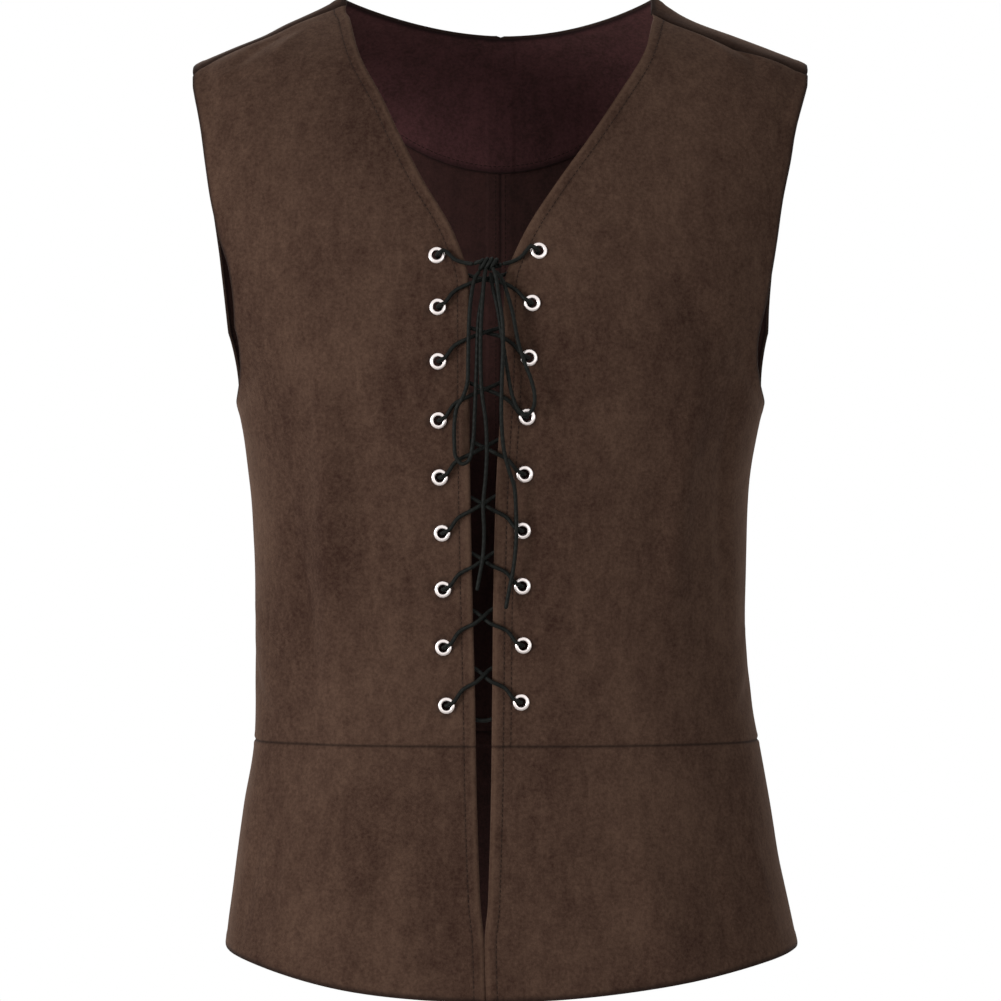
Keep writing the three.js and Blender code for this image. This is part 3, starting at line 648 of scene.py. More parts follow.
def crease_rise(turn, z):
    rise = np.zeros_like(turn)
    for turn0, z0, turn1, z1, wide, height in CREASES:
        start, step = np.array([turn0 * DEGREE, z0]), np.array([(turn1 - turn0) * DEGREE, z1 - z0])
        at = np.stack([((turn - turn0 + 540) % 360 - 180) * DEGREE + start[0], z], -1) - start
        share = np.clip(at @ step / (step @ step), 0, 1)
        away = np.linalg.norm(at - share[:, None] * step, axis=1)
        swell = np.sin(math.pi * np.clip(share, 0.02, 0.98)) ** 0.7
        rise += height * swell * bell(away, wide)
    return rise


def ripple(points):
    return np.array([RIPPLE * noise.noise(Vector(p) / RIPPLE_SIZE) for p in points])


# ---------- panels ----------
# Distances from an edge at which the first rows of points lie, in mm.
NEAR = (0, 0.45, 1, 1.7, 2.5, 3.4, 4.4, 5.3, 6.1, 6.9, 7.7, 8.6, 9.3, 10, 11.2, 13, 15.5, 18.5)


def spaced(length, step):
    """Distances along a length, close together near both ends."""
    middle = np.linspace(NEAR[-1], length - NEAR[-1], max(int((length - 2 * NEAR[-1]) / step), 2) + 1)
    return np.concatenate([NEAR[:-1], middle, length - np.array(NEAR[:-1])[::-1]])


def row_shares(heights, step):
    """Shares of the way up, spaced in mm, for rows of these heights."""
    gone = np.concatenate([[0], np.cumsum(heights)])
    return np.interp(spaced(gone[-1], step), gone, np.arange(len(gone))) / len(heights)


class Panel:
    """A panel of cloth: its places, their points and normals, and how its edges are finished."""

    def __init__(self, name, places, edges):
        self.name = name
        self.shape = places.shape[:2]
        self.turn, self.z = places[..., 0].ravel(), places[..., 1].ravel()
        self.points = cloth_point(self.turn, self.z)
        self.normals = cloth_normal(self.turn, self.z)
        grid = self.grid(self.points)
        sides = {"bottom": grid[0], "top": grid[-1], "inner": grid[:, 0], "outer": grid[:, -1]}
        self.edges = []
        face, inside, self.tone = np.zeros((3, len(self.points)))
        calm = np.full(len(self.points), NO_EDGE)
        self.free = np.zeros(len(self.points), bool)
        for side, kind, low, high in edges:
            line = sides[side]
            first, last = (round(share * (len(line) - 1)) for share in (low, high))
            away = distance_to_line(self.points, line[first : last + 1])
            self.edges.append((side, kind, first, last, away))
            out, into, tone = EDGE_KINDS[kind](away)
            face, inside = face + out, np.where(abs(into) > abs(inside), into, inside)
            self.tone += tone
            if kind in ("turned", "topstitched"):
                calm = np.minimum(calm, away)
            self.free |= (away < 0.01) & (kind not in ("sewn", "shoulder", "yoke"))
        self.body = crease_rise(self.turn, self.z) * smooth_step(0, 14, calm)
        self.body += ripple(self.points) * smooth_step(0, 6, calm)
        self.low = self.body - CLOTH / 2 - inside
        self.high = self.body + CLOTH / 2 + face

    def grid(self, values):
        return values.reshape(*self.shape, *values.shape[1:])

    def line_inside(self, side, kind, inset, heights):
        """Points and normals of a line on the panel at a distance from one of its edges."""
        found = []
        for at_side, at_kind, first, last, away in self.edges:
            if (at_side, at_kind) != (side, kind):
                continue
            surface = self.points + self.normals * heights[:, None]
            parts = [self.grid(values) for values in (away, surface, self.normals)]
            if side in ("bottom", "top"):
                parts = [values.swapaxes(0, 1) for values in parts]
            if side in ("outer", "top"):
                parts = [values[:, ::-1] for values in parts]
            for row in range(first, last + 1):
                gone, points, normals = (values[row] for values in parts)
                i = int(np.argmax(gone >= inset))
                if i == 0:
                    continue
                t = (inset - gone[i - 1]) / (gone[i] - gone[i - 1])
                found.append((lerp(points[i - 1], points[i], t), lerp(normals[i - 1], normals[i], t)))
        points, normals = (np.array(values) for values in zip(*found)) if found else ([], [])
        return points, unit(normals) if len(normals) else normals


def closed_wall(panel, low, high):
    """Vertices and faces of a wall between two heights off a panel, with rounded rims."""
    rows, columns = panel.shape
    outer = panel.points + panel.normals * high[:, None]
    inner = panel.points + panel.normals * low[:, None]
    ring = [(0, i) for i in range(columns)] + [(j, columns - 1) for j in range(1, rows)]
    ring += [(rows - 1, i) for i in range(columns - 2, -1, -1)]
    ring += [(j, 0) for j in range(rows - 2, 0, -1)]
    index = np.array([j * columns + i for j, i in ring])
    inward = np.array([
        min(max(j, 1), rows - 2) * columns + min(max(i, 1), columns - 2) for j, i in ring
    ])
    middle = (outer[index] + inner[index]) / 2
    half = (outer[index] - inner[index]) / 2
    out = unit(panel.points[index] - panel.points[inward])
    reach = np.linalg.norm(half, axis=1, keepdims=True) * RIM_FULLNESS
    reach = np.where(panel.free[index][:, None], np.maximum(reach, RIM_REACH), reach)
    rims = [middle + half * math.cos(a) + out * reach * math.sin(a) for a in RIM_ANGLES]
    count = rows * columns
    vertices = np.concatenate([outer, inner, *rims])
    grid = np.arange(count).reshape(rows, columns)
    quads = np.stack([grid[:-1, :-1], grid[:-1, 1:], grid[1:, 1:], grid[1:, :-1]], -1).reshape(-1, 4)
    faces = [quads, quads[:, ::-1] + count]
    around = 2 * count + np.arange(len(index))
    levels = [index, *(around + k * len(index) for k in range(len(RIM_ANGLES))), index + count]
    for upper, lower in zip(levels[:-1], levels[1:]):
        faces.append(np.stack([upper, lower, np.roll(lower, -1), np.roll(upper, -1)], -1))
    return vertices, np.concatenate(faces), index, len(quads)


def new_mesh(name, vertices, faces):
    """A smooth object of these vertices, given in mm, whose faces point outwards."""
    vertices, faces = np.asarray(vertices, float) * MM, np.asarray(faces)
    corners = vertices[faces[:, 0]], vertices[faces[:, 1]], vertices[faces[:, 2]]
    volume = np.einsum("ij,ij->i", corners[0], np.cross(corners[1], corners[2])).sum()
    if faces.shape[1] == 4:
        last = vertices[faces[:, 3]]
        volume += np.einsum("ij,ij->i", corners[0], np.cross(corners[2], last)).sum()
    if volume < 0:
        faces = faces[:, ::-1]
    mesh = bpy.data.meshes.new(name)
    mesh.from_pydata(vertices.tolist(), [], faces.tolist())
    mesh.polygons.foreach_set("use_smooth", [True] * len(mesh.polygons))
    mesh.update()
    made = bpy.data.objects.new(name, mesh)
    bpy.context.scene.collection.objects.link(made)
    return made


def cloth_object(panel, low, high):
    """The panel's closed wall, with the tone near its edges kept for the materials."""
    vertices, faces, ring, face_count = closed_wall(panel, low, high)
    made = new_mesh(panel.name, vertices, faces)
    # the edge tone: lighter where the cloth is rubbed, and painted shade in seams, creases and rims
    tone = np.concatenate([panel.tone, panel.tone, *[panel.tone[ring]] * len(RIM_ANGLES)])
    made.data.attributes.new("edge_tone", "FLOAT", "POINT").data.foreach_set("value", tone)
    inside = np.zeros(len(made.data.polygons), int)
    inside[face_count : 2 * face_count] = 1
    made.data.polygons.foreach_set("material_index", inside)
    return made


# Rows of a bodice panel that its edges share: up the side and round the armhole, and at the middle.
SIDE_ROWS, SCOOP_ROWS, ARM_ROWS, OPENING_ROWS, NECKLINE_ROWS = 7, 5, 7, 10, 6
BODICE_ROWS = SIDE_ROWS + SCOOP_ROWS + ARM_ROWS
ROW_HEIGHTS = [33] * SIDE_ROWS + [12] * SCOOP_ROWS + [24] * ARM_ROWS
SIDE_SHARE = SIDE_ROWS / BODICE_ROWS
FINE = 3.4  # mm between the points of a panel

# Rough sizes of the panels, for the number of their points.
BODICE_WIDTH = 200
SKIRT_LENGTH = 160
SKIRT_FRONT_WIDTH, SKIRT_BACK_WIDTH = 220, 420
FACING_DEPTH, FACING_HALF = 96, 180


def shares_of(length):
    """Shares of the way along a length, for the points of a panel."""
    return spaced(length, FINE) / length


def outer_edge(side, back, shares):
    return joined(
        shares,
        (lambda t: (np.full_like(t, side * 90), lerp(WAIST_Z, ARMPIT_Z, t)), SIDE_ROWS),
        (armhole_scoop(side, back), SCOOP_ROWS),
        (armhole_upper(side, back), ARM_ROWS),
    )


def share_index(rows, share):
    """How far through a list of row shares the one nearest to this share comes."""
    return np.argmin(abs(rows - share)) / (len(rows) - 1)


def bodice_front(side):
    rows, columns = row_shares(ROW_HEIGHTS, FINE), shares_of(BODICE_WIDTH)
    start = float(front_edge(side, WAIST_Z)[0])
    side_top = share_index(rows, SIDE_SHARE)
    places = fill(
        rows=rows, columns=columns,
        bottom=evenly(lambda t: (lerp(start, side * 90, t), np.full_like(t, WAIST_Z)), columns),
        top=evenly(lambda t: shoulder_seam(side, t), columns),
        inner=joined(
            rows,
            (lambda t: front_edge(side, lerp(WAIST_Z, VEE_Z, t)), OPENING_ROWS),
            (vee(side), BODICE_ROWS - OPENING_ROWS),
        ),
        outer=outer_edge(side, False, rows),
    )
    edges = [
        ("inner", "topstitched", 0, 1),
        ("outer", "sewn", 0, side_top), ("outer", "turned", side_top, 1),
        ("bottom", "sewn", 0, 1), ("top", "shoulder", 0, 1),
    ]
    if side == LEFT:
        edges.append(("inner", "second", 0, OPENING_ROWS / BODICE_ROWS))
    return Panel("suede_front_" + SIDE_NAMES[side], places, edges)


def bodice_back(side):
    rows, columns = row_shares(ROW_HEIGHTS, FINE), shares_of(BODICE_WIDTH)
    side_top = share_index(rows, SIDE_SHARE)
    neck = share_index(rows, 1 - NECKLINE_ROWS / BODICE_ROWS)
    places = fill(
        rows=rows, columns=columns,
        bottom=evenly(lambda t: (side * lerp(180, 90, t), np.full_like(t, WAIST_Z)), columns),
        top=evenly(lambda t: shoulder_seam(side, t), columns),
        inner=joined(
            rows,
            (centre_back(side, WAIST_Z), BODICE_ROWS - NECKLINE_ROWS),
            (back_neckline(side), NECKLINE_ROWS),
        ),
        outer=outer_edge(side, True, rows),
    )
    return Panel("suede_back_" + SIDE_NAMES[side], places, [
        ("inner", "sewn", 0, neck), ("inner", "turned", neck, 1),
        ("outer", "sewn", 0, side_top), ("outer", "turned", side_top, 1),
        ("bottom", "sewn", 0, 1), ("top", "yoke", 0, 1),
    ])


def skirt(name, start, end, width, start_kind):
    """A skirt panel between two edges, each a function that gives the turn at a height."""
    rows, columns = shares_of(SKIRT_LENGTH), shares_of(width)

    def low(t):
        z = hem_z(lerp(start(HEM_FRONT_Z), end(HEM_FRONT_Z), t))
        return lerp(start(z), end(z), t), z

    def up(edge, z_low):
        def path(t):
            z = lerp(z_low, WAIST_Z, t)
            return edge(z), z
        return evenly(path, rows)

    waist = np.array([WAIST_Z])
    start_waist, end_waist = float(start(waist)[0]), float(end(waist)[0])
    places = fill(
        rows=rows, columns=columns,
        bottom=evenly(low, columns),
        top=evenly(lambda t: (lerp(start_waist, end_waist, t), np.full_like(t, WAIST_Z)), columns),
        inner=up(start, float(low(np.array([0.0]))[1][0])),
        outer=up(end, float(low(np.array([1.0]))[1][0])),
    )
    return Panel(name, places, [
        ("inner", start_kind, 0, 1), ("outer", "sewn", 0, 1),
        ("top", "sewn", 0, 1), ("bottom", "turned", 0, 1),
    ])


def skirt_front(side):
    return skirt(
        "suede_skirt_front_" + SIDE_NAMES[side],
        lambda z: front_edge(side, z)[0], lambda z: np.full_like(z, side * 90),
        SKIRT_FRONT_WIDTH, "topstitched",
    )


def skirt_back():
    return skirt(
        "suede_skirt_back",
        lambda z: np.full_like(z, 90), lambda z: np.full_like(z, 270),
        SKIRT_BACK_WIDTH, "sewn",
    )


def neck_facing():
    """The facing behind the back neckline, laid on the inside of the back panels."""
    rows, columns = shares_of(FACING_DEPTH), shares_of(FACING_HALF)

    def half(side):
        return fill(
            rows=rows, columns=columns,
            bottom=evenly(facing_edge(side), columns),
            top=evenly(back_neckline(side), columns),
            inner=evenly(centre_back(side, FACING_LOW_Z), rows),
            outer=evenly(lambda t: shoulder_seam(side, lerp(facing_share(side), 0, t)), rows),
        )

    places = np.concatenate([half(LEFT)[:, ::-1], half(RIGHT)[:, 1:]], axis=1)
    return Panel("suede_back_neck_facing", places, [
        ("bottom", "rim", 0, 1), ("top", "turned", 0, 1),
        ("inner", "sewn", 0, 1), ("outer", "sewn", 0, 1),
    ])


# ---------- stitching ----------
STITCH = 2.5  # mm long
STITCH_PITCH = 3.3
THREAD = 0.5  # mm thick
THREAD_SIDES = 5
# Along a stitch: share of its length, share of its thickness, and height of its middle.
STITCH_RINGS = ((0, 0.5, -0.3), (0.18, 1, 0.02), (0.82, 1, 0.02), (1, 0.5, -0.3))


def stitches(points, normals):
    """Vertices and faces of one stitch after another along a line of points."""
    gone = distances(points)
    starts = np.arange(1.0, gone[-1] - STITCH, STITCH_PITCH)
    rings = []
    for share, thick, height in STITCH_RINGS:
        here = starts + share * STITCH
        centre = read_along(here, gone, points)
        along = unit(read_along(here + 0.6, gone, points) - read_along(here - 0.6, gone, points))
        up = unit(read_along(here, gone, normals))
        across = unit(np.cross(along, up))
        reach = THREAD / 2 * thick
        for k in range(THREAD_SIDES):
            angle = 2 * math.pi * k / THREAD_SIDES
            off = up * (height + reach * math.sin(angle)) + across * reach * math.cos(angle)
            rings.append(centre + off)
    count = len(STITCH_RINGS) * THREAD_SIDES
    vertices = np.stack(rings, 1).reshape(-1, 3)
    faces = []
    for r in range(len(STITCH_RINGS) - 1):
        for k in range(THREAD_SIDES):
            near, far = r * THREAD_SIDES, (r + 1) * THREAD_SIDES
            after = (k + 1) % THREAD_SIDES
            faces.append((near + k, near + after, far + after, far + k))
    first = np.arange(len(starts))[:, None, None] * count
    return vertices, (np.array(faces)[None] + first).reshape(-1, 4)


def sew(name, lines, thread):
    """One object of all the stitches along some lines, each given by its points and normals."""
    vertices, faces, count = [], [], 0
    for points, normals in lines:
        some, quads = stitches(points, normals)
        vertices.append(some)
        faces.append(quads + count)
        count += len(some)
    made = new_mesh(name, np.concatenate(vertices), np.concatenate(faces))
    finish(made, thread)
    return made


# ---------- cords ----------
CORD_SIDES = 18
CORD_STEP = 0.7  # mm between rings
PLAIT = 4.6  # mm along the cord for one crossing of its strands
PLAIT_RISE = 0.15
PLAIT_STRANDS = 4  # that wind each way


def smooth_route(points, steps=14):
    """Points close together on a centripetal curve through all the given ones."""
    points = np.asarray(points, float)
    padded = np.concatenate([[2 * points[0] - points[1]], points, [2 * points[-1] - points[-2]]])
    found = []
    t = np.linspace(0, 1, steps, endpoint=False)[:, None]
    for p0, p1, p2, p3 in zip(padded, padded[1:], padded[2:], padded[3:]):
        steps_between = (p1 - p0, p2 - p1, p3 - p2)
        d0, d1, d2 = (max(math.sqrt(np.linalg.norm(step)), 1e-3) for step in steps_between)
        m1 = ((p1 - p0) / d0 - (p2 - p0) / (d0 + d1) + (p2 - p1) / d1) * d1
        m2 = ((p2 - p1) / d1 - (p3 - p1) / (d1 + d2) + (p3 - p2) / d2) * d1
        found.append(
            (2 * t**3 - 3 * t**2 + 1) * p1 + (t**3 - 2 * t**2 + t) * m1
            + (3 * t**2 - 2 * t**3) * p2 + (t**3 - t**2) * m2
        )
    dense = np.concatenate([*found, points[-1:]])
    gone = distances(dense)
    return read_along(np.linspace(0, gone[-1], max(int(gone[-1] / CORD_STEP), 4) + 1), gone, dense)


def plaited_cord(name, points, material):
    """A round plaited cord along a route. Returns the object and its centre line, in metres."""
    path = smooth_route(points)
    along = unit(np.gradient(path, axis=0))
    side = unit(np.cross(along[0], [0.3, 0.2, 1]))
    sides = []
    for direction in along:
        side = unit(side - direction * (side @ direction))
        sides.append(side)
    sides = np.array(sides)
    others = np.cross(along, sides)
    gone = np.arange(len(path)) * np.linalg.norm(path[1] - path[0])
    angle = np.linspace(0, 2 * math.pi, CORD_SIDES, endpoint=False)[None]
    phase = (2 * math.pi * gone / PLAIT)[:, None]
    plait = np.maximum(np.cos(PLAIT_STRANDS * angle + phase), np.cos(PLAIT_STRANDS * angle - phase))
    ends = np.minimum(gone, gone[-1] - gone)[:, None]
    round_end = np.sqrt(np.clip(1 - (1 - np.minimum(ends / (CORD * 0.4), 1)) ** 2, 0.12, 1))
    radius = (CORD / 2 - PLAIT_RISE + PLAIT_RISE * plait) * round_end
    ring = path[:, None] + (
        sides[:, None] * np.cos(angle)[..., None] + others[:, None] * np.sin(angle)[..., None]
    ) * radius[..., None]
    rings = len(path)
    index = np.arange(rings * CORD_SIDES).reshape(rings, CORD_SIDES)
    after = np.roll(index, -1, axis=1)
    faces = np.stack([index[:-1], after[:-1], after[1:], index[1:]], -1).reshape(-1, 4)
    vertices = np.concatenate([ring.reshape(-1, 3), path[:1], path[-1:]])
    made = new_mesh(name, vertices, faces)
    work = bmesh.new()
    work.from_mesh(made.data)
    work.verts.ensure_lookup_table()
    for tip, loop in ((len(vertices) - 2, index[0]), (len(vertices) - 1, index[-1][::-1])):
        for a, b in zip(loop, np.roll(loop, -1)):
            work.faces.new([work.verts[int(v)] for v in (tip, b, a)]).smooth = True
    bmesh.ops.recalc_face_normals(work, faces=work.faces)
    work.to_mesh(made.data)
    work.free()
    finish(made, material)
    return made, path * MM


# ---------- the lace's held route, as on the solids ----------
CLEAR = 0.35  # between the cord and what it passes
ON_CLOTH = CLOTH / 2 + CORD / 2 + CLEAR
BEHIND = -ON_CLOTH
OVER_FLANGE = ON_CLOTH + FLANGE_RISE
BEHIND_WASHER = BEHIND - WASHER_DROP


def eyelet_at(side, row):
    x, z = EYELET_PLACES[side][row]
    return side, x, z


def through_eyelet(side, x, z):
    """Up through an eyelet from inside, as points off its axis towards the opening."""
    steps = (
        (4.6, -2.6, BEHIND_WASHER), (1.6, -0.8, BEHIND_WASHER), (0, 0, -1.5),
        (0, 0, 1.5), (1.6, 0.8, OVER_FLANGE), (4.8, 2.4, OVER_FLANGE),
    )
    return [on_front(x - side * inward, z + rise, height) for inward, rise, height in steps]


def crossing(start, end, over):
    """Over the near panel's edge, across the opening, and behind the other side to the next row."""
    (side, x, z), (far_side, far_x, far_z) = start, end
    near_edge = float(front_edge_x(side, lerp(z, far_z, 0.4)))
    far_edge = float(front_edge_x(far_side, lerp(z, far_z, 0.6)))
    return [
        on_front(x - side * 10.5, lerp(z, far_z, 0.26), ON_CLOTH),
        on_front(near_edge - side, lerp(z, far_z, 0.4), ON_CLOTH + 0.4),
        on_front((near_edge + far_edge) / 2, lerp(z, far_z, 0.5), 1.8 if over else -1.8),
        on_front(far_edge - far_side, lerp(z, far_z, 0.6), BEHIND - 0.3),
        on_front(far_x - far_side * 9.5, lerp(z, far_z, 0.76), BEHIND),
    ]


def lacing_up(start_side):
    """One half of the lace, from the lowest eyelet of this side up to the top one."""
    points = []
    for row in range(EYELET_ROWS - 1, -1, -1):
        side = -start_side if (EYELET_ROWS - 1 - row) % 2 else start_side
        here = eyelet_at(side, row)
        points += through_eyelet(*here)
        over = (row % 2 == 0) == (start_side == RIGHT)
        if row:
            points += crossing(here, eyelet_at(-side, row - 1), over)
    return points


def to_knot(side):
    """From a top eyelet over the cloth's edge to the knot."""
    end = KNOT["x"] + side * KNOT_REACH
    _, x, z = eyelet_at(side, 0)
    return [
        on_front(lerp(x, end, 0.5), lerp(z, KNOT["z"], 0.5), ON_CLOTH + 0.4),
        on_front(lerp(x, end, 0.78), lerp(z, KNOT["z"], 0.85), ON_CLOTH + 0.8),
        on_front(end, KNOT["z"], KNOT["height"]),
    ]


def lace_route():
    """The threaded stretch, from the knot down one half, across inside, and up the other."""
    (_, x0, z0), (_, x1, z1) = eyelet_at(RIGHT, EYELET_ROWS - 1), eyelet_at(LEFT, EYELET_ROWS - 1)
    sag = [
        on_front(lerp(x0, x1, t), lerp(z0, z1, t) - 11 * math.sin(t * math.pi), BEHIND - 1.5)
        for t in (0.25, 0.5, 0.75)
    ]
    right = (lacing_up(RIGHT) + to_knot(RIGHT))[::-1]
    return right + sag + lacing_up(LEFT) + to_knot(LEFT)


# ---------- eyelets ----------
# The rolled section of an eyelet, from the bore's lower end round to it again: radius and height.
EYELET_SECTION = (
    (2.8, -1.9), (2.8, -0.6), (2.8, 0.9), (2.86, 1.35), (3.08, 1.72), (3.45, 1.98), (3.95, 2.1),
    (4.5, 2.04), (5.0, 1.8), (5.38, 1.45), (5.6, 1.1), (5.7, 0.85), (5.55, 0.72), (5.2, 0.8),
    (4.4, 0.95), (3.4, 0.95), (3.3, 0.6), (3.3, -1.15), (4.6, -1.15), (4.8, -1.3), (4.8, -1.8),
    (4.6, -2.0), (3.4, -2.05), (2.95, -2.0),
)
EYELET_SIDES = 40
HOLE_SIDES = 28
PUNCH_LENGTH = 12


def seat(side, row):
    """The middle of an eyelet's hole in the cloth, and the direction out of it."""
    _, x, z = eyelet_at(side, row)
    turn = turn_at(np.array(float(x)), z)
    return cloth_point(turn, z), Vector(cloth_normal(turn, z))


def turned_to(out):
    return Vector((0, 0, 1)).rotation_difference(out)


def model_eyelet():
    """One eyelet at the origin, its axis along +Z: a ring of points raised through its section."""
    bpy.ops.object.select_all(action="DESELECT")
    radius, height = EYELET_SECTION[0]
    bpy.ops.mesh.primitive_circle_add(
        vertices=EYELET_SIDES, radius=radius * MM, location=(0, 0, height * MM),
    )
    made = bpy.context.object
    bpy.ops.object.transform_apply(location=True, rotation=True, scale=True)
    bpy.ops.object.mode_set(mode="EDIT")
    bpy.ops.mesh.select_all(action="SELECT")
    for (r0, h0), (r1, h1) in zip(EYELET_SECTION, EYELET_SECTION[1:] + EYELET_SECTION[:1]):
        bpy.ops.mesh.extrude_edges_move(TRANSFORM_OT_translate={"value": (0, 0, (h1 - h0) * MM)})
        bpy.ops.transform.resize(value=(r1 / r0, r1 / r0, 1), center_override=(0, 0, h1 * MM))
    bpy.ops.mesh.select_all(action="SELECT")
    bpy.ops.mesh.remove_doubles(threshold=0.01 * MM)
    bpy.ops.mesh.normals_make_consistent(inside=False)
    bpy.ops.object.mode_set(mode="OBJECT")
    bpy.ops.object.shade_smooth()
    return made


def set_eyelets(material):
    """Sets a copy of the eyelet at each of its places."""
    pattern = model_eyelet()
    for side in (RIGHT, LEFT):
        for row in range(EYELET_ROWS):
            centre, out = seat(side, row)
            mesh = pattern.data.copy()
            turned = turned_to(out).to_matrix().to_4x4()
            mesh.transform(Matrix.Translation(Vector(centre) * MM) @ turned)
            node = f"eyelet_{SIDE_NAMES[side]}_{row + 1}"
            made = bpy.data.objects.new(f"nickel_{node}", mesh)
            bpy.context.scene.collection.objects.link(made)
            finish(made, material)
            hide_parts(node)
    bpy.data.objects.remove(pattern)


def punch_holes(made, side):
    """Cuts a round hole through a front panel for each of its eyelets."""
    bpy.ops.object.select_all(action="DESELECT")
    punches = []
    for row in range(EYELET_ROWS):
        centre, out = seat(side, row)
        bpy.ops.mesh.primitive_cylinder_add(
            vertices=HOLE_SIDES, radius=HOLE_RADIUS * MM, depth=PUNCH_LENGTH * MM,
            location=Vector(centre) * MM, rotation=turned_to(out).to_euler(),
        )
        punches.append(bpy.context.object)
    for punch in punches:
        punch.select_set(True)
    bpy.context.view_layer.objects.active = punches[0]
    bpy.ops.object.join()
    punch = bpy.context.object
    cut = made.modifiers.new("eyelet_holes", "BOOLEAN")
    cut.operation, cut.solver, cut.object = "DIFFERENCE", "EXACT", punch
    bpy.context.view_layer.objects.active = made
    bpy.ops.object.modifier_apply(modifier=cut.name)
    bpy.data.objects.remove(punch)


# ---------- materials ----------
def linear(colour):
    """A linear colour from an sRGB hex value."""
    parts = [int(colour[i : i + 2], 16) / 255 for i in (1, 3, 5)]
    return tuple(p / 12.92 if p <= 0.04045 else ((p + 0.055) / 1.055) ** 2.4 for p in parts) + (1.0,)


def add(tree, kind, inputs=None, **settings):
    """Adds a node to a tree with its settings. Each input is a value or an output to link."""
    made = tree.nodes.new("ShaderNode" + kind)
    for name, value in settings.items():
        setattr(made, name, value)
    for name, value in (inputs or {}).items():
        socket = made.inputs[name]
        if isinstance(value, bpy.types.NodeSocket):
            tree.links.new(value, socket)
        else:
            socket.default_value = value
    return made


def per_metre(size):
    """The scale of a pattern whose features are this many mm apart."""
    return 1 / (size * MM)


def spots(tree, place, size, detail, roughness=0.5, distortion=0.0):
    """A pattern of soft spots, this many mm apart."""
    return add(tree, "TexNoise", {
        "Vector": place, "Scale": per_metre(size), "Detail": detail, "Roughness": roughness,
        "Distortion": distortion,
    }).outputs["Fac"]


def blend(tree, share, first, second):
    """A colour that fades into another. Each is an sRGB hex value or an output."""
    first, second = (linear(one) if isinstance(one, str) else one for one in (first, second))
    mixed = add(tree, "Mix", {"Factor": share, "A": first, "B": second}, data_type="RGBA")
    return mixed.outputs["Result"]


def spread(tree, value, start, end, low=0.0, high=1.0):
    """A value that runs from start to end, made to run from low to high."""
    return add(tree, "MapRange", {
        "Value": value, "From Min": start, "From Max": end, "To Min": low, "To Max": high,
    }).outputs["Result"]


def relief(tree, height, strength, depth):
    """The normal of a surface with this relief, in mm."""
    bump = add(tree, "Bump", {"Height": height, "Strength": strength, "Distance": depth * MM})
    return bump.outputs["Normal"]


def new_material(name):
    """A material, its tree and the place on the object, in metres."""
    material = bpy.data.materials.new(name)
    material.use_nodes = True
    tree = material.node_tree
    tree.nodes.clear()
    return material, tree, add(tree, "TexCoord").outputs["Object"]


def surfaced(material, inputs):
    """The material, whose surface is a shader with these inputs."""
    tree = material.node_tree
    add(tree, "OutputMaterial", {"Surface": add(tree, "BsdfPrincipled", inputs).outputs["BSDF"]})
    return material


# Sizes in the suede, in mm.
NAP_CLOUD = 55  # patches in which the nap lies the same way
NAP_STROKE = 8  # marks where a hand has brushed it
SUEDE_GRAIN = 2.3  # tufts
SUEDE_FIBRE = 0.9  # fibres, drawn coarser than real ones


def suede_material(name, dark, light, worn, deep, bump):
    """Brushed microfibre suede: a dull knit whose nap lies this way and that, in soft lighter and
    darker clouds, with a fine grain, a faint bloom at grazing angles, rubbed folds, and painted
    shade in its seams, creases and rims."""
    material, tree, place = new_material(name)
    hanging = add(tree, "Mapping", {"Vector": place, "Scale": (1.0, 1.0, 0.55)}).outputs["Vector"]
    cloud = spots(tree, hanging, NAP_CLOUD, 2.0)
    nap = spots(tree, hanging, NAP_STROKE, 4.0, 0.6, 0.3)
    grain = spots(tree, place, SUEDE_GRAIN, 4.0, 0.7)
    half = add(tree, "Mix", {"Factor": 0.5, "A": cloud, "B": nap}).outputs["Result"]
    mottle = add(tree, "Mix", {"Factor": 0.44, "A": half, "B": grain}).outputs["Result"]
    colour = blend(tree, spread(tree, mottle, 0.37, 0.63), dark, light)
    tone = add(tree, "Attribute", attribute_name="edge_tone").outputs["Fac"]
    rubbed = blend(tree, spread(tree, tone, 0.0, 1.0, high=0.8), colour, worn)
    # painted shade: below nought the edge tone darkens the colour towards the shaded one
    shaded = blend(tree, spread(tree, tone, 0.0, -1.0, high=0.85), rubbed, deep)
    fibre = spots(tree, place, SUEDE_FIBRE, 2.0)
    raised = add(tree, "Math", {0: nap, 1: fibre}, operation="ADD").outputs["Value"]
    return surfaced(material, {
        "Base Color": shaded, "Roughness": 0.95, "Specular IOR Level": 0.18,
        "Sheen Weight": spread(tree, tone, -0.5, 0.0, 0.02, 0.2), "Sheen Roughness": 0.45,
        "Sheen Tint": linear("#b08d74"), "Normal": relief(tree, raised, bump, 0.35),
    })


def nickel_material():
    """Nickel-plated brass: bright, faintly warm, with hairline scuffs that soften its reflections."""
    material, tree, place = new_material("nickel_plate")
    scuff = spots(tree, place, 1.2, 3.0)
    return surfaced(material, {
        "Base Color": linear("#f3e9e6"), "Metallic": 1.0,
        "Roughness": spread(tree, scuff, 0.0, 1.0, 0.16, 0.34), "Normal": relief(tree, scuff, 0.15, 0.05),
    })


def lace_material():
    """Waxed cotton, plaited: near black with a grey-green cast where the wax catches the light."""
    material, tree, place = new_material("waxed_cotton_lace")
    return surfaced(material, {
        "Base Color": blend(tree, spots(tree, place, 3.0, 3.0), "#090a09", "#1b1d1a"),
        "Roughness": 0.55, "Specular IOR Level": 0.1,
        "Normal": relief(tree, spots(tree, place, 0.5, 2.0), 0.5, 0.15),
    })


def thread_material():
    """Spun polyester sewing thread, matched to the cloth: as dull as the suede and a little darker."""
    material, tree, place = new_material("polyester_thread")
    return surfaced(material, {
        "Base Color": blend(tree, spots(tree, place, 0.6, 1.0), "#150e0b", "#2c1d17"),
        "Roughness": 0.8, "Specular IOR Level": 0.15,
    })


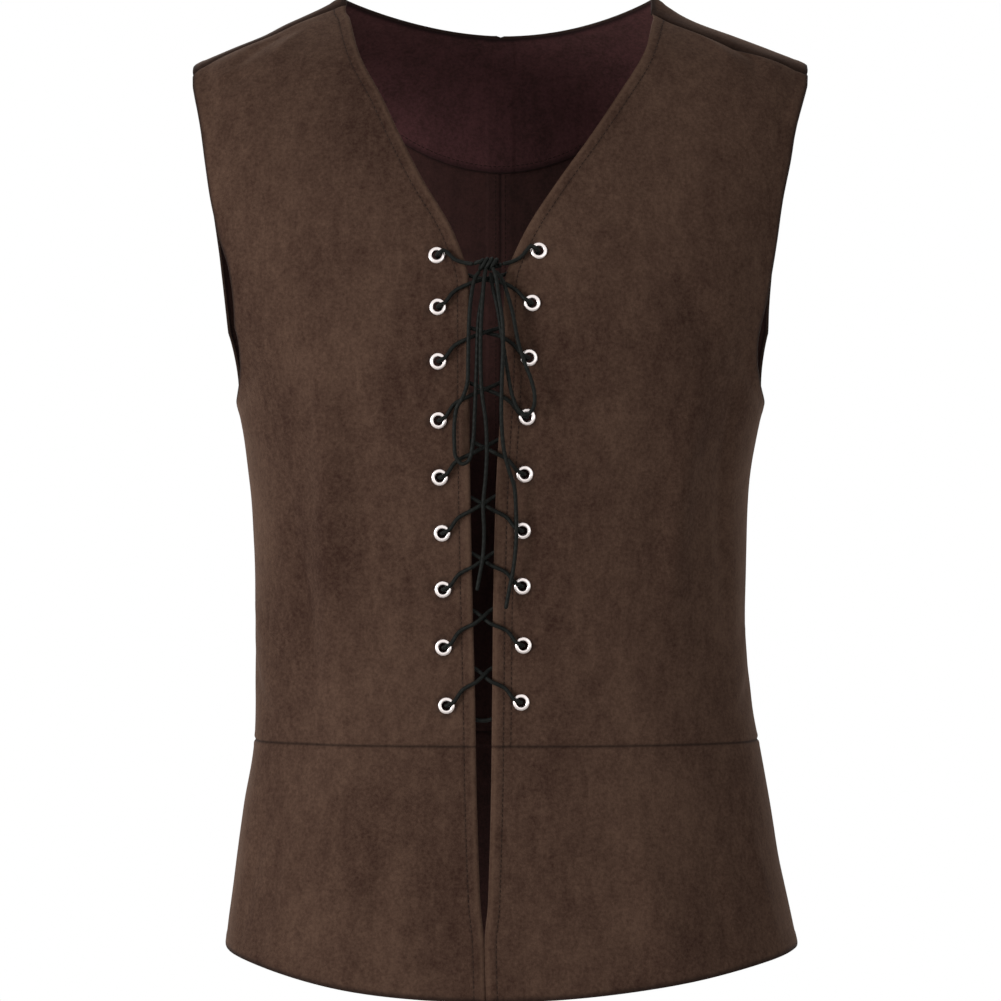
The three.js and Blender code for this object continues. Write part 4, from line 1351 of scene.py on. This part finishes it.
def board_material():
    """Matt painted board, for the floor: pale, with hardly a mottle."""
    material, tree, place = new_material("painted_board")
    colour = blend(tree, spots(tree, place, 400, 2.0), "#efeeec", "#f6f5f3")
    return surfaced(material, {"Base Color": colour, "Roughness": 0.9})


def finish(made, material):
    """Gives a piece its materials and the body that it rides on."""
    for one in material if isinstance(material, tuple) else (material,):
        made.data.materials.append(one)
    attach(made, "root")


# The cloth's dark, light, rubbed and painted-shade colours, and how far its nap stands up: on its face;
# on its back, redder and flatter and darkened further as painted shade for the inside of the vest; and
# on the face of the facing, a copy of the cloth darkened and reddened as painted shade where it lies in
# the shade, and hardly worn.
SUEDE = suede_material("brushed_suede", "#2f1c14", "#533e32", "#644d3e", "#160c08", 0.7)
# painted shade: the back's own redder tone, made darker for the vest's shaded inside
REVERSE = suede_material("suede_reverse", "#2b1a18", "#432926", "#432a28", "#120808", 0.4)
# painted shade: a darker, redder copy of the face, for the facing in the shade
SHADED_FACING_SUEDE = suede_material("facing_suede", "#351f1f", "#583537", "#583739", "#160a0b", 0.5)
NICKEL = nickel_material()
LACE = lace_material()
THREAD_BROWN = thread_material()


def make_lace():
    """The threaded stretch, the knot, and the loops and ends that hang from it."""
    held, _ = plaited_cord("lace_cord", lace_route(), LACE)
    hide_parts("lace")
    knot = make_knot()
    for name, points in HANGING.items():
        route = [on_front(*point) for point in points]
        made, path = plaited_cord("cord_" + name, route, LACE)
        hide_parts(name)


KNOT_TURNS = 3.5
KNOT_HALF = 5.4  # mm, across the turns
KNOT_SLANT = 1.5


def make_knot():
    """The lace wound about itself, and drawn tight."""
    centre = on_front(KNOT["x"], KNOT["z"], KNOT["height"])
    points = [(-9.2, 0, 0), (-8.2, 0.4, 0.5), (-7, 1.2, 1.8)]
    for t in np.linspace(0, 1, 37):
        angle = 2 * math.pi * KNOT_TURNS * t + 0.6
        radius = 3.5 - 1.1 * abs(2 * t - 1) ** 3
        across = lerp(-KNOT_HALF, KNOT_HALF, t) + KNOT_SLANT * math.sin(angle)
        points.append((across, radius * math.sin(angle), radius * math.cos(angle)))
    points += [(7, -1.2, -1.6), (8.2, -0.4, -0.5), (9.2, 0, 0)]
    route = [centre + np.array([x, -out, up]) for x, up, out in points]
    made, _ = plaited_cord("lace_knot_wound", route, LACE)
    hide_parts("lace_knot")
    return made


make_lace()


FLANGE_FOOT = 6.4  # mm from an eyelet's axis to the ring of cloth just outside its flange


def dimple(panel, side):
    """Presses the cloth down where the eyelets grip it, with a thin ring of painted shadow just outside
    each flange.
    """
    for row in range(EYELET_ROWS):
        away = np.linalg.norm(panel.points - seat(side, row)[0], axis=1)
        flat = 1 - smooth_step(6, 11, away)
        panel.high = lerp(panel.high, CLOTH / 2, flat)
        panel.low = lerp(panel.low, -CLOTH / 2, flat)
        panel.high -= 0.3 * bell(away - FLANGE_FOOT, 1.6)
        # painted shadow round the flange
        panel.tone -= 0.6 * bell(away - FLANGE_FOOT, 1.0)


def make_panel(panel, node, lines, low=None, high=None, cloth=(SUEDE, REVERSE)):
    """A panel's cloth and its rows of stitches, each with its edge, kind, distance and faces."""
    low = panel.low if low is None else low
    high = panel.high if high is None else high
    made = cloth_object(panel, low, high)
    finish(made, cloth)
    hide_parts(node)
    sewn = []
    for side, kind, inset, faces in lines:
        for face in faces:
            points, normals = panel.line_inside(side, kind, inset, high if face > 0 else low)
            if len(points):
                sewn.append((points, normals * face))
    thread = sew(panel.name.replace("suede", "stitching"), sewn, THREAD_BROWN) if sewn else None
    return made


BOTH, INSIDE = (1, -1), (-1,)
for side in (RIGHT, LEFT):
    name = SIDE_NAMES[side]
    front = bodice_front(side)
    dimple(front, side)
    made = make_panel(front, "front_" + name, [
        ("inner", "topstitched", STITCH_IN, BOTH), ("inner", "second", SECOND_IN, BOTH),
        ("outer", "turned", STITCH_IN, INSIDE),
    ])
    punch_holes(made, side)
    make_panel(bodice_back(side), "back_" + name, [
        ("inner", "turned", STITCH_IN, INSIDE), ("outer", "turned", STITCH_IN, INSIDE),
        ("inner", "sewn", SEAM_STITCH_IN, INSIDE),
    ])
    make_panel(skirt_front(side), "skirt_front_" + name, [
        ("inner", "topstitched", STITCH_IN, BOTH), ("bottom", "turned", STITCH_IN, INSIDE),
    ])
make_panel(skirt_back(), "skirt_back", [("bottom", "turned", STITCH_IN, INSIDE)])


def make_facing():
    """The facing lies on the back panels and their seam, and lifts a little towards its free edge."""
    facing = neck_facing()
    seam = 0.65 * (1 - smooth_step(ALLOWANCE - 0.5, ALLOWANCE + 0.5, abs(facing.points[:, 0])))
    under = facing.body - CLOTH / 2 - 0.35 - seam
    _, _, _, _, from_rim = facing.edges[0]
    lift = 0.5 * bell(from_rim, 7)
    make_panel(
        facing, "back_neck_facing", [("bottom", "rim", RIM_STITCH_IN, INSIDE)],
        low=under - FACING - lift, high=under - lift * 0.6, cloth=(REVERSE, SHADED_FACING_SUEDE),
    )


make_facing()
set_eyelets(NICKEL)

# ---------- the studio ----------
# In metres and watts.
FLOOR_Z = -1.0
FLOOR_RADIUS = 2.6
LIGHTS = (
    ("key", (-2.7, -2.1, -0.1), 1.2, 75),
    ("fill", (1.8, -2.9, -0.1), 2.0, 11.5),
    ("back", (-0.6, 2.6, 1.4), 1.8, 30),
)


def light_studio():
    bpy.ops.object.select_all(action="DESELECT")
    bpy.ops.mesh.primitive_circle_add(
        vertices=128, radius=FLOOR_RADIUS, fill_type="NGON", location=(0, 0, FLOOR_Z),
    )
    floor = bpy.context.object
    bpy.ops.object.transform_apply(location=True, rotation=True, scale=True)
    floor.name = "studio_floor"
    floor.data.materials.append(board_material())
    for name, place, size, power in LIGHTS:
        data = bpy.data.lights.new(name, "AREA")
        data.size, data.energy = size, power
        light = bpy.data.objects.new(name, data)
        light.location = place
        aim = Vector((0, 0, CAMERA_Z)) - Vector(place)
        light.rotation_euler = aim.to_track_quat("-Z", "Y").to_euler()
        bpy.context.scene.collection.objects.link(light)
    world = bpy.data.worlds.new("white_studio")
    world.use_nodes = True
    tree = world.node_tree
    tree.nodes.clear()
    soft = add(tree, "Background", {"Color": (1, 1, 1, 1), "Strength": 0.36})
    seen = add(tree, "Background", {"Color": (1, 1, 1, 1), "Strength": 1.0})
    path = add(tree, "LightPath")
    bright = add(tree, "Math", {
        0: path.outputs["Is Camera Ray"], 1: path.outputs["Is Glossy Ray"],
    }, operation="MAXIMUM")
    mix = add(tree, "MixShader", {0: bright.outputs[0], 1: soft.outputs[0], 2: seen.outputs[0]})
    out = add(tree, "OutputWorld")
    tree.links.new(mix.outputs[0], out.inputs["Surface"])
    bpy.context.scene.world = world
    bpy.context.scene.view_settings.view_transform = "Standard"


light_studio()
